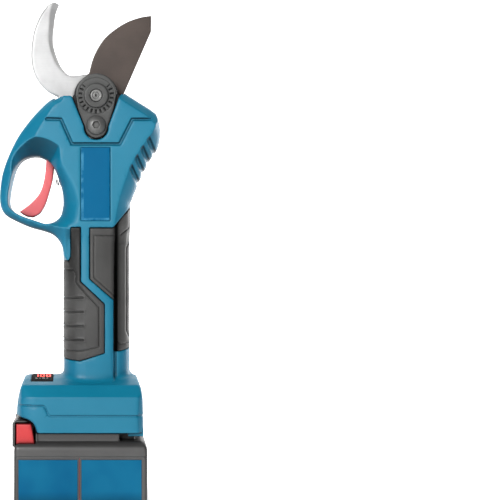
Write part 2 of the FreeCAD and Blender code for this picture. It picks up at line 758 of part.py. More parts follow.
def bevel_pinion():
    """Ten straight teeth on a cone whose apex is the pivot, above a shaft and carrier."""
    pitch = MODULE * PINION_TEETH / 2
    root = pitch - 1.75
    tip = pitch + 1.15
    z = PIVOT_Z - CONE_HEIGHT
    rim = [
        Vector(AXIS_X + root * math.cos(a), root * math.sin(a), z)
        for a in (math.radians(i * 12.0) for i in range(30))
    ]
    shape = polygon_solid(rim, toward_apex(rim, FACE_SCALE))
    for i in range(PINION_TEETH):
        middle = math.radians(-90.0 + i * 360.0 / PINION_TEETH)
        tooth = []
        for radius, half in ((root - 0.4, 1.15), (pitch, 0.85), (tip, 0.4)):
            spread = half / radius
            tooth.append((radius, middle - spread, middle + spread))
        corners = [(r, low) for r, low, high in tooth]
        corners += [(r, high) for r, low, high in reversed(tooth)]
        points = [Vector(AXIS_X + r * math.cos(a), r * math.sin(a), z) for r, a in corners]
        shape = shape.fuse(polygon_solid(points, toward_apex(points, FACE_SCALE)))
    for radius, low, high in ((6.0, 262.3, z), (4.0, 240.0, 262.3), (12.3, 240.0, 244.0)):
        shape = shape.fuse(Part.makeCylinder(radius, high - low, Vector(AXIS_X, 0, low)))
    for x, y in planet_centres():
        bore = Part.makeCylinder(size("planet_pin_radius"), 12.0, Vector(x, y, 236.0))
        shape = shape.cut(bore)
    return shape


def planet_centres():
    distance = size("planet_distance")
    return [
        (AXIS_X + distance * math.cos(a), distance * math.sin(a))
        for a in (math.radians(120.0 * i) for i in range(3))
    ]


def sector_gear():
    """A toothed sector that turns with the moving blade. Its teeth face the pinion."""
    step = size("sector_step")
    outer = size("sector_radius")
    inner = CONE_HEIGHT * FACE_SCALE
    pitch_y = -MODULE * PINION_TEETH / 2
    first = -90.0 + step / 2 + step
    count = int(size("sector_teeth"))
    sweep = math.radians(step * count + 3.0)
    wedge = Part.makeCylinder(outer, 1.5, Vector(), UP, math.degrees(sweep))
    wedge.Placement = Placement(
        Vector(AXIS_X, -9.0, PIVOT_Z),
        Rotation(Vector(1, 0, 0), 90) * Rotation(UP, first - math.degrees(sweep) - 2.5),
    )
    hub = Part.makeCylinder(13.0, 7.0, Vector(AXIS_X, -10.5, PIVOT_Z), RIGHTWARDS)
    shape = wedge.fuse(hub)
    for i in range(count):
        angle = math.radians(first - step * (i + 1))
        along = Vector(math.cos(angle), 0, math.sin(angle))
        across = Vector(-math.sin(angle), 0, math.cos(angle))
        ends = []
        for radius, scale in ((CONE_HEIGHT, 1.0), (inner, FACE_SCALE)):
            centre = PIVOT + along * radius
            foot, tip = 1.35 * scale, 0.55 * scale
            tip_y = (pitch_y + 1.15) * scale
            ends.append([
                centre + across * foot + RIGHTWARDS * -9.6,
                centre + across * tip + RIGHTWARDS * tip_y,
                centre - across * tip + RIGHTWARDS * tip_y,
                centre - across * foot + RIGHTWARDS * -9.6,
            ])
        shape = shape.fuse(polygon_solid(*ends))
    bore_radius = size("bushing_radius") + size("running_fit")
    shape = shape.cut(
        Part.makeCylinder(bore_radius, 12.0, Vector(AXIS_X, -12.0, PIVOT_Z), RIGHTWARDS))
    for x, z in SECTOR_SCREWS:
        shape = shape.cut(Part.makeCylinder(SECTOR_SHANK, 10.0, Vector(x, -12.0, z), RIGHTWARDS))
        shape = shape.cut(Part.makeCylinder(SECTOR_HEAD, 3.1, Vector(x, -12.0, z), RIGHTWARDS))
    return shape.removeSplitter()


feature("bevel_pinion", bevel_pinion())
feature("sector_gear", sector_gear())

sector_screws = []
for i, (x, z) in enumerate(SECTOR_SCREWS):
    head = cylinder(f"sector_head_{i}", SECTOR_HEAD, 1.5, (x, -10.4, z), RIGHTWARDS)
    shank = cylinder(f"sector_shank_{i}", SECTOR_SHANK, 8.7, (x, -8.9, z), RIGHTWARDS)
    sector_screws.append(fuse(f"sector_screw_{i}", [head, shank]))
finish("sector_screws", compound("sector_screws", sector_screws))


def bearing(label, outer, inner, low, height):
    """A ball bearing drawn as its closed ring."""
    ring = cylinder(f"{label}_ring", outer, height, (AXIS_X, 0, low))
    bore = cylinder(f"{label}_bore", inner, height + 2, (AXIS_X, 0, low - 1))
    return finish(label, cut(label, ring, [bore]))


bearing("pinion_bearing", 9.5, 4.03, 250.0, 12.0)


# ---------------------------------------------------------------- planetary reduction

def gear_points(teeth, module, centre, z, phase, tip, root, half):
    """A spur gear's outline: four points a tooth."""
    pitch = module * teeth / 2
    points = []
    for i in range(teeth):
        middle = phase + i * 2 * math.pi / teeth
        for radius, spread in (
            (root, -1.15 * half / pitch), (tip, -0.5 * half / pitch),
            (tip, 0.5 * half / pitch), (root, 1.15 * half / pitch),
        ):
            angle = middle + spread
            points.append(
                Vector(centre[0] + radius * math.cos(angle), centre[1] + radius * math.sin(angle), z))
    return points


def spur(teeth, centre, z, height, phase, tip, root):
    points = gear_points(teeth, size("planet_module"), centre, z, phase, tip, root, 0.55)
    face = Part.Face(Part.makePolygon(points + [points[0]]))
    return face.extrude(UP * height)


PLANET_PITCH = size("planet_module") * size("planet_teeth") / 2
RING_PITCH = size("planet_module") * size("ring_teeth") / 2
PLANET_Z = size("planet_bottom")
PLANET_H = size("planet_height")
HALF_TOOTH = math.pi / size("planet_teeth")

planet_tip = PLANET_PITCH + 0.5
planet_root = PLANET_PITCH - 0.95
for i, centre in enumerate(planet_centres(), 1):
    gear = spur(
        int(size("planet_teeth")), centre, PLANET_Z, PLANET_H, HALF_TOOTH, planet_tip, planet_root)
    bore_radius = size("planet_pin_radius") + size("running_fit")
    bore = Part.makeCylinder(bore_radius, PLANET_H + 2, Vector(*centre, PLANET_Z - 1))
    feature(f"planet_gear_{i}", gear.cut(bore))

pins = [
    cylinder(f"planet_pin_{i}", "dims.planet_pin_radius", 11.7, (x, y, 232.2))
    for i, (x, y) in enumerate(planet_centres())
]
finish("planet_pins", compound("planet_pins", pins))

ring_blank = Part.makeCylinder(size("motor_radius"), 11.0, Vector(AXIS_X, 0, 230.0))
ring_space = spur(
    int(size("ring_teeth")), (AXIS_X, 0), 229.0, 13.0, math.pi / size("ring_teeth"),
    RING_PITCH + 0.95, RING_PITCH - 0.5)
feature("ring_gear", ring_blank.cut(ring_space))

cover_disc = cylinder("cover_disc", "dims.motor_radius", 4.2, (AXIS_X, 0, 225.6))
cover_bore = cylinder("cover_bore", 6.0, 6.0, (AXIS_X, 0, 225.0))
finish("gearbox_cover", cut("gearbox_cover", cover_disc, [cover_bore]))


# ---------------------------------------------------------------- motor

MOTOR_Z = size("motor_bottom")
MOTOR_TOP = size("motor_top")
can = cylinder(
    "motor_can", "dims.motor_radius", "dims.motor_top - dims.motor_bottom", (AXIS_X, 0, MOTOR_Z))
can_space = cylinder("motor_space", 15.6, MOTOR_TOP - MOTOR_Z - 9.0, (AXIS_X, 0, MOTOR_Z + 4.5))
can_seats = cylinder("motor_seats", 6.5, MOTOR_TOP - MOTOR_Z + 2, (AXIS_X, 0, MOTOR_Z - 1))
finish("motor_case", cut("motor_case", can, [can_space, can_seats]))

stator_ring = cylinder("stator_ring", 15.6, 46.0, (AXIS_X, 0, 170.0))
stator_bore = cylinder("stator_bore", 8.6, 48.0, (AXIS_X, 0, 169.0))
slots = []
for i in range(6):
    angle = math.radians(60.0 * i)
    x, y = AXIS_X + 11.6 * math.cos(angle), 11.6 * math.sin(angle)
    slots.append(cylinder(f"stator_slot_{i}", 1.9, 48.0, (x, y, 169.0)))
finish("stator", cut("stator", stator_ring, [stator_bore] + slots))

bearing("motor_bearing_lower", 6.5, 2.53, MOTOR_Z, 4.4)
bearing("motor_bearing_upper", 6.5, 2.53, MOTOR_TOP - 4.5, 4.4)

magnet = cylinder("rotor_ring", "dims.rotor_radius", 44.0, (AXIS_X, 0, 171.0))
magnet_bore = cylinder("rotor_bore", "dims.rotor_shaft_radius", 46.0, (AXIS_X, 0, 170.0))
finish("rotor_magnets", cut("rotor_magnets", magnet, [magnet_bore]))

sun = spur(12, (AXIS_X, 0), 231.4, 8.0, 0.0, planet_tip, planet_root)
shaft = Part.makeCylinder(size("rotor_shaft_radius"), 76.0, Vector(AXIS_X, 0, 157.0))
feature("rotor_shaft", shaft.fuse(sun).removeSplitter())


# ---------------------------------------------------------------- trigger

TRIGGER_X = size("trigger_x")
TRIGGER_Z = size("trigger_z")
TRIGGER_PIVOT = Vector(TRIGGER_X, 0, TRIGGER_Z)
TRIGGER = (
    arc(on_circle(4.6, 175, TRIGGER_PIVOT), on_circle(4.6, 90, TRIGGER_PIVOT),
        on_circle(4.6, 0, TRIGGER_PIVOT))
    + line(on_circle(4.6, 0, TRIGGER_PIVOT), (-16.2, 252.6), (-16.2, 249.6), (-20.0, 247.5))
    + curve(
        (-20.0, 247.5), (-21.2, 238.5), (-23.5, 229.5), (-26.4, 220.5), (-30.5, 213.5),
        (-35.8, 210.4),
    )
    + curve((-35.8, 210.4), (-41.0, 211.2), (-46.3, 214.5))
    + curve(
        (-46.3, 214.5), (-38.1, 220.5), (-32.0, 227.0), (-28.7, 234.0), (-26.6, 245.0),
        on_circle(4.6, 175, TRIGGER_PIVOT),
    )
)
finish("trigger", padded_body(
    "trigger", TRIGGER, "dims.trigger_width", 0.0,
    [(TRIGGER_X, TRIGGER_Z, "dims.trigger_pin_radius + dims.running_fit")],
))
finish("trigger_pin", cylinder(
    "trigger_pin", "dims.trigger_pin_radius", 17.8, (TRIGGER_X, -8.9, TRIGGER_Z), RIGHTWARDS))

switch_body = box("switch_body", (-12.0, -4.0), (-3.2, 3.2), (248.0, 264.0))
plunger_hole = cylinder("plunger_hole", 1.25, 5.0, (-13.0, 0, 251.1), Vector(1, 0, 0))
finish("trigger_switch", cut("trigger_switch", switch_body, [plunger_hole]))
finish("switch_plunger", cylinder(
    "switch_plunger", 1.2, 4.9, (-15.8, 0, 251.1), Vector(1, 0, 0)))
spring_coil("trigger_spring", (-19.0, 0, 237.0), (1, 0, 0))


# ---------------------------------------------------------------- electronics in the base

board = box("board_sheet", (-31.0, 34.0), (-25.0, 25.0), (70.0, 71.6))
finish("control_board", board)
transistors = [
    box(f"transistor_{i}", (-22.0 + 9.0 * i, -16.0 + 9.0 * i), (14.0, 19.0), (71.6, 76.0))
    for i in range(6)
]
finish("board_transistors", compound("board_transistors", transistors))
capacitors = [
    cylinder(f"capacitor_{i}", 4.2, 10.0, (-20.0 + 12.0 * i, -16.0, 71.6)) for i in range(2)
]
finish("board_capacitors", compound("board_capacitors", capacitors))
wires = [
    cylinder(f"motor_wire_{i}", 1.2, 86.9, (AXIS_X - 11.0, 4.0 * i, 71.6)) for i in (-1, 0, 1)
]
finish("motor_wires", compound("motor_wires", wires))
DISPLAY = ((-36.5, -20.5), (-19.5, 19.5), (84.0, 92.8))
finish("display_module", box("display_module", *DISPLAY))

finish("terminal_block", box("terminal_block", (22.0, 38.0), (-17.0, 17.0), (62.6, 69.8)))
TERMINAL_ROWS = (-14.0, -7.0, 0.0, 7.0, 14.0)
blades = [
    box(f"terminal_blade_{i}", (23.0, 37.0), (y - 0.4, y + 0.4), (57.6, 62.6))
    for i, y in enumerate(TERMINAL_ROWS)
]
finish("terminal_blades", compound("terminal_blades", blades))


# ---------------------------------------------------------------- battery pack

HALF_X = size("battery_half_x")
HALF_Y = size("battery_half_y")
WALL = size("battery_wall")
SEAM = size("battery_seam")
SHOULDER = size("battery_shoulder")
RAIL_TOP = size("rail_top")


def full_rectangle(left, right, half, corner):
    """A rectangle with four cut corners."""
    return line(
        (left, -half + corner), (left, half - corner), (left + corner, half),
        (right - corner, half), (right, half - corner), (right, -half + corner),
        (right - corner, -half), (left + corner, -half), (left, -half + corner),
    )


CASE_CORNER = 3.0
case_outline = full_rectangle(-HALF_X, HALF_X, HALF_Y, CASE_CORNER)
lower_block = extrude(
    "lower_block", plan_sketch("lower_section", case_outline, 0.0), UP, "dims.battery_seam")
lower_space = box(
    "lower_space", (-HALF_X + WALL, HALF_X - WALL), (-HALF_Y + WALL, HALF_Y - WALL), (WALL, 40.0))
labels = []
LABEL_FILM = 0.25
LABEL_Z = (3.0, 35.0)
for i, (low, high) in enumerate(((-45.6, -1.7), (-0.1, 44.6))):
    front_film = (-HALF_Y, -HALF_Y + LABEL_FILM)
    back_film = (HALF_Y - LABEL_FILM, HALF_Y)
    labels.append(box(f"label_{i}", (low, high), front_film, LABEL_Z))
    labels.append(box(f"label_back_{i}", (-high, -low), back_film, LABEL_Z))
# The pack's screws stand beyond the ends of the cells, in posts that grow out of the walls.
SCREW_X, SCREW_Y = 44.0, 34.75
POST_RADIUS = 2.2
PILOT_RADIUS = 1.0
pack_screw_places = [
    (sx * SCREW_X, sy * SCREW_Y) for sx in (-1, 1) for sy in (-1, 1)]
posts = []
for i, (x, y) in enumerate(pack_screw_places):
    posts.append(cylinder(f"post_{i}", POST_RADIUS, "dims.battery_seam", (x, y, 0)))
screw_wells = []
for i, (x, y) in enumerate(pack_screw_places):
    screw_wells.append(cylinder(f"pack_well_{i}", 1.55, 26.0, (x, y, -1.0)))
    screw_wells.append(cylinder(f"pack_pilot_{i}", PILOT_RADIUS, 45.0, (x, y, -1.0)))
lower_tray = cut("lower_tray", lower_block, [lower_space])
lower_shell = fuse("lower_shell", [lower_tray] + posts)
CELL_X = [size("cell_pitch") * i for i in (-2, -1, 0, 1, 2)]
CELL_Z = (11.4, 29.8)
finish("battery_case_lower", cut("battery_case_lower", lower_shell, labels + screw_wells))
finish("battery_labels", compound("battery_labels", labels))

LATCH_HALF = 33.0       # half width of the latch frame and of the lid's flat top
upper_block = extrude(
    "upper_block", plan_sketch("upper_section", case_outline, SEAM), UP, SHOULDER - SEAM)
upper_slope = doc.addObject("Part::Loft", "upper_slope")
upper_slope.Sections = [
    plan_sketch("slope_low", case_outline, SHOULDER),
    plan_sketch("slope_high", full_rectangle(-46.4, 46.4, LATCH_HALF, CASE_CORNER), 46.9),
]
upper_slope.Solid = True
upper_slope.Ruled = True
NECK_HALF = size("neck_half")
RAIL_HALF = size("rail_half")
# The latch frame's shoulders follow the arch of the foot, and its middle joins the rail.
LATCH_SHOULDERS = line(
    (-49.7, 43.7), (-49.7, 59.5), (-46.6, 62.6), (-40.0, 62.2), (-36.4, 60.2),
    (-34.0, 57.4), (-32.8, 54.6), (-31.4, 51.4), (-31.4, 43.7), (-49.7, 43.7),
)
LATCH_MIDDLE = line(
    (-45.0, 50.0), (-45.0, RAIL_TOP), (-31.4, RAIL_TOP), (-31.4, 56.7), (-34.0, 56.7),
    (-34.0, 50.0), (-45.0, 50.0),
)
shoulders = slab("latch_shoulders", LATCH_SHOULDERS, -LATCH_HALF, 2 * LATCH_HALF)
middle = slab("latch_middle", LATCH_MIDDLE, -RAIL_HALF, 2 * RAIL_HALF)
neck = box("rail_neck", (-34.0, 39.5), (-NECK_HALF, NECK_HALF), (45.0, 58.0))
rail = box("rail_head", (-31.5, 39.5), (-RAIL_HALF, RAIL_HALF), (56.7, RAIL_TOP))
CELL_ROOF = 39.4        # the upper case's ceiling over the cells, under the latch pocket's floor
upper_tools = [
    box("upper_space", (-HALF_X + WALL, HALF_X - WALL), (-HALF_Y + WALL, HALF_Y - WALL),
        (SEAM - 1, CELL_ROOF)),
    box("rail_space", (-28.0, 37.0), (-19.0, 19.0), (CELL_ROOF - 1, 56.0)),
    box("latch_pocket", (-47.6, -32.7), (-34.0, 34.0), (40.4, 60.8)),
    box("latch_window", (-52.0, -46.0), (-14.0, 14.0), (47.0, 60.8)),
]
for i, y in enumerate(TERMINAL_ROWS):
    upper_tools.append(box(f"blade_slot_{i}", (19.0, 41.0), (y - 1.2, y + 1.2), (55.0, 64.0)))
lid_bosses = []
for i, (x, y) in enumerate(pack_screw_places):
    lid_bosses.append(cylinder(f"lid_boss_{i}", POST_RADIUS, 4.0, (x, y, SEAM)))
lid_pilots = [
    cylinder(f"lid_pilot_{i}", PILOT_RADIUS, 6.0, (x, y, SEAM - 3.0))
    for i, (x, y) in enumerate(pack_screw_places)
]
upper_outer = fuse("upper_outer", [upper_block, upper_slope, shoulders, middle, neck, rail])
upper_hollow = cut("upper_hollow", upper_outer, upper_tools)
upper_bossed = fuse("upper_bossed", [upper_hollow] + lid_bosses)
finish("battery_case_upper", cut("battery_case_upper", upper_bossed, lid_pilots))

cells = [
    cylinder(f"cell_{i}_{k}", "dims.cell_radius", "dims.cell_length",
             (x, -size("cell_length") / 2, z), RIGHTWARDS)
    for i, x in enumerate(CELL_X) for k, z in enumerate(CELL_Z)
]
finish("battery_cells", compound("battery_cells", cells))
strips = []
for i in range(4):
    low, high = CELL_X[i] - 5.0, CELL_X[i + 1] + 5.0
    y = -32.9 if i % 2 == 0 else 32.55
    strips.append(box(f"strip_{i}", (low, high), (y, y + 0.35), (6.0, 34.0)))
finish("cell_strips", compound("cell_strips", strips))
finish("battery_board", box("battery_board", (-26.0, 35.0), (-17.5, 17.5), (44.0, 45.6)))
clips = [
    box(f"clip_{i}", (15.0, 18.8), (y - 1.1, y + 1.1), (45.6, 55.6))
    for i, y in enumerate(TERMINAL_ROWS)
]
finish("battery_terminals", compound("battery_terminals", clips))
PACK_HEAD_RADIUS = 1.45
PACK_HEAD_Z = (23.0, 25.0)
PACK_SHANK_LENGTH = 14.0
pack_screws = []
for i, (x, y) in enumerate(pack_screw_places):
    head = cylinder(
        f"pack_head_{i}", PACK_HEAD_RADIUS, PACK_HEAD_Z[1] - PACK_HEAD_Z[0], (x, y, PACK_HEAD_Z[0]))
    shank = cylinder(f"pack_shank_{i}", PILOT_RADIUS, PACK_SHANK_LENGTH, (x, y, PACK_HEAD_Z[1]))
    pack_screws.append(fuse(f"pack_screw_{i}", [head, shank]))
finish("battery_screws", compound("battery_screws", pack_screws))

LATCH = line((-47.2, 44.3), (-47.2, 59.7), (-35.8, 59.7), (-33.1, 44.3), (-47.2, 44.3))
BAR_HALF = 32.6
latch_bar = slab("latch_bar", LATCH, -BAR_HALF, 2 * BAR_HALF)
latch_ledge = box("latch_ledge", (-50.4, -47.0), (-12.0, 12.0), (52.0, 57.5))
latch_body = fuse("latch_body", [latch_bar, latch_ledge])
latch_well = cylinder("latch_well", 3.6, 8.0, (-40.5, 0, 43.0))
finish("latch_button", cut("latch_button", latch_body, [latch_well]))
spring_coil("latch_spring", (-40.5, 0, 40.9), (0, 0, 1))


# ---------------------------------------------------------------- checks and files

doc.recompute()
failed = [obj.Name for obj in doc.Objects if {"Invalid", "Error"} & set(obj.State)]
if failed:
    sys.exit("objects that failed to recompute: " + ", ".join(failed))
for label, obj in SUBPARTS.items():
    if obj.Shape.isNull() or not obj.Shape.isValid():
        sys.exit(f"{label} has no valid shape")
    if not obj.Shape.Solids:
        sys.exit(f"{label} holds no solid")
for label, obj in SUBPARTS.items():
    obj.Shape.exportStep(f"parts/{label}.step")
    extent = obj.Shape.BoundBox
    print(
        f"{label:22s} solids {len(obj.Shape.Solids):2d}  volume {obj.Shape.Volume:10.1f}"
        f"  Z {extent.ZMin:6.1f} to {extent.ZMax:6.1f}"
    )
print(len(SUBPARTS), "sub-parts written")
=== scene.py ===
import math

import bpy
import numpy as np
import openvdb
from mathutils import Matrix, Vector


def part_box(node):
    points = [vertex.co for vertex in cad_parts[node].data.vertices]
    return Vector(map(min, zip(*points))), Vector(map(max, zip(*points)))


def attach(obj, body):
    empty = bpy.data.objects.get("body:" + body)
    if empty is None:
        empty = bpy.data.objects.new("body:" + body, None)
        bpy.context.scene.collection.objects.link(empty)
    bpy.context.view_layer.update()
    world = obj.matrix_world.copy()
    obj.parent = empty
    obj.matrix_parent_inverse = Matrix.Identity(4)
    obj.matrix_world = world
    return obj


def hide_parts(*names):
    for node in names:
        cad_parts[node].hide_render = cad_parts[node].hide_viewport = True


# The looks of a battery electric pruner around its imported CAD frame.
# Shapes are signed distance fields worked out in millimetres, and meshes are in metres.
# X runs from the trigger guard to the heel, Y across the tool, and Z up from the pack's base.

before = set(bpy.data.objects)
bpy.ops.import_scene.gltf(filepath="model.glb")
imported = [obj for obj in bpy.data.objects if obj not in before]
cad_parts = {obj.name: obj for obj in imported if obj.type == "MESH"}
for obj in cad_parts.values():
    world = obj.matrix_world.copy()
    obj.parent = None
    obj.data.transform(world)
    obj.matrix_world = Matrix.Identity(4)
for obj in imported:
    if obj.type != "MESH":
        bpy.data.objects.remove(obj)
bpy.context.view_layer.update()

MM = 0.001
CREASE_X = 25.4         # the crease down the rear of the handle


def cad_box(node):
    """Lowest and highest corner of a CAD node, in millimetres."""
    low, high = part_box(node)
    return low / MM, high / MM


def cad_middle(node):
    low, high = cad_box(node)
    return (low + high) / 2


BOLT = cad_middle("pivot_bolt")
LOCK = cad_middle("lock_screw")
AXIS_X = BOLT.x
PIVOT_Z = BOLT.z
FOOT_HALF = -cad_box("housing_left")[0].y
HEAD_FACE = -cad_box("nameplate_left")[0].y
PACK_LOW, PACK_HIGH = cad_box("battery_case_lower")
SEAM_Z = PACK_HIGH.z


# ---------------------------------------------------------------- distance fields

class Grid:
    """A block of sample points. x, y and z are its axes, shaped to broadcast together."""

    def __init__(self, low, high, step):
        self.step = step
        self.low = np.array(low, np.float32)
        axes = [np.arange(a, b + step, step, dtype=np.float32) for a, b in zip(low, high)]
        self.x = axes[0][:, None, None]
        self.y = axes[1][None, :, None]
        self.z = axes[2][None, None, :]
        self.shape = tuple(len(a) for a in axes)


def grid_about(low, high, margin, step):
    """Sample points over a box and a margin round it."""
    room = Vector((margin, margin, margin))
    return Grid(low - room, high + room, step)


def node_grid(name, margin, step):
    """A CAD node's lowest and highest corner, and sample points over it."""
    low, high = cad_box(name)
    return low, high, grid_about(low, high, margin, step)


def smooth(points, steps=6):
    """Points along a Catmull-Rom curve through the given ones."""
    p = np.array(points, float)
    p = np.vstack([2 * p[0] - p[1], p, 2 * p[-1] - p[-2]])
    found = []
    for i in range(1, len(p) - 2):
        a, b, c, d = p[i - 1:i + 3]
        for t in np.arange(steps) / steps:
            found.append(tuple(0.5 * (
                2 * b + (c - a) * t + (2 * a - 5 * b + 4 * c - d) * t ** 2
                + (3 * b - a - 3 * c + d) * t ** 3)))
    return found + [tuple(p[-2])]


def arc(cx, cz, radius, start, end, steps=16):
    """Points along an arc, angles in degrees."""
    angles = np.radians(np.linspace(start, end, steps))
    return [(cx + radius * math.cos(a), cz + radius * math.sin(a)) for a in angles]


def to_path(u, v, points):
    """Distance to an open line through points."""
    best = np.full(np.broadcast(u, v).shape, np.inf, np.float32)
    for (ax, ay), (bx, by) in zip(points, points[1:]):
        ex, ey = bx - ax, by - ay
        if ex == 0 and ey == 0:
            continue
        t = np.clip(((u - ax) * ex + (v - ay) * ey) / (ex * ex + ey * ey), 0, 1)
        best = np.minimum(best, (u - ax - ex * t) ** 2 + (v - ay - ey * t) ** 2)
    return np.sqrt(best)


def to_outline(u, v, points):
    """Signed distance to a closed outline, negative inside."""
    closed = list(points) + [points[0]]
    inside = np.zeros(np.broadcast(u, v).shape, bool)
    for (ax, ay), (bx, by) in zip(closed, closed[1:]):
        if ay != by:
            inside ^= ((ay > v) != (by > v)) & (u - ax < (bx - ax) * (v - ay) / (by - ay))
    return np.where(inside, -1, 1) * to_path(u, v, closed)


def to_box(g, x, y, z):
    """Signed distance to a box given by its lowest and highest X, Y and Z."""
    sides = [
        np.abs(axis - (low + high) / 2) - (high - low) / 2
        for axis, (low, high) in ((g.x, x), (g.y, y), (g.z, z))
    ]
    outside = np.sqrt(sum(np.maximum(s, 0) ** 2 for s in sides))
    return outside + np.minimum(np.maximum(np.maximum(sides[0], sides[1]), sides[2]), 0)


def join(a, b, blend):
    """Union with a fillet."""
    mix = np.maximum(blend - np.abs(a - b), 0) / blend
    return np.minimum(a, b) - mix * mix * blend / 4


def meet(a, b, blend):
    """Intersection with a rounded edge."""
    return -join(-a, -b, blend)


def carve(a, b, blend):
    """Take b away from a, with a rounded edge."""
    return meet(a, -b, blend)


def bump(distance, width):
    """A channel's profile: 1 along its line, falling to 0 at half its width."""
    t = np.clip(1 - distance / (width / 2), 0, 1)
    return t * t * (3 - 2 * t)


def between(value, low, high):
    """0 below low, 1 above high, smooth between."""
    t = np.clip((value - low) / (high - low), 0, 1)
    return t * t * (3 - 2 * t)


def raised(g, height):
    """Distance to the surface where |y| reaches a height map over X and Z."""
    slope_x, slope_z = np.gradient(height[:, 0, :], g.step)
    steepness = np.sqrt(1 + slope_x ** 2 + slope_z ** 2)
    return (np.abs(g.y) - height) / steepness[:, None, :]


# ---------------------------------------------------------------- meshes

def fill(mesh, vertices, faces):
    """Fill a mesh from arrays: faces is a list of index arrays, one per number of corners."""
    corners = np.concatenate([f.ravel() for f in faces]).astype(np.int32)
    totals = np.concatenate([np.full(len(f), f.shape[1]) for f in faces])
    starts = np.concatenate([[0], np.cumsum(totals)[:-1]]).astype(np.int32)
    mesh.vertices.add(len(vertices))
    mesh.vertices.foreach_set("co", np.asarray(vertices, np.float32).ravel())
    mesh.loops.add(len(corners))
    mesh.loops.foreach_set("vertex_index", corners)
    mesh.polygons.add(len(starts))
    mesh.polygons.foreach_set("loop_start", starts)
    mesh.update(calc_edges=True)
    mesh.validate()


def volume(vertices, triangles):
    a, b, c = (vertices[triangles[:, i]] for i in range(3))
    return float(np.einsum("ij,ij->i", a, np.cross(b, c)).sum() / 6)


def solid(name, g, field, material, body, nodes, flatness=0.0):
    """The surface of a distance field as one piece. Flatness merges the faces of flat areas."""
    band = 4 * g.step
    sample = np.broadcast_to(field, g.shape).astype(np.float32).copy()
    sample[[0, -1], :, :] = band
    sample[:, [0, -1], :] = band
    sample[:, :, [0, -1]] = band
    vdb = openvdb.FloatGrid(band)
    vdb.copyFromArray(np.clip(sample, -band, band), tolerance=0.0)
    points, triangles, quads = vdb.convertToPolygons(0.0, flatness)
    vertices = (g.low + points * g.step) * MM
    halves = np.vstack([triangles, quads[:, :3], quads[:, [0, 2, 3]]]).astype(np.int64)
    if volume(vertices, halves) < 0:
        triangles, quads = triangles[:, ::-1], quads[:, ::-1]
    mesh = bpy.data.meshes.new(name)
    fill(mesh, vertices, [f for f in (triangles, quads) if len(f)])
    mesh.shade_smooth()
    return place(bpy.data.objects.new(name, mesh), material, body, nodes)


def place(obj, material, body, nodes):
    """Put a finished piece in the scene, on its body and in place of its CAD nodes."""
    bpy.context.scene.collection.objects.link(obj)
    obj.data.materials.append(material)
    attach(obj, body)
    if nodes:
        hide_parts(*nodes)
    return obj


# ---------------------------------------------------------------- materials

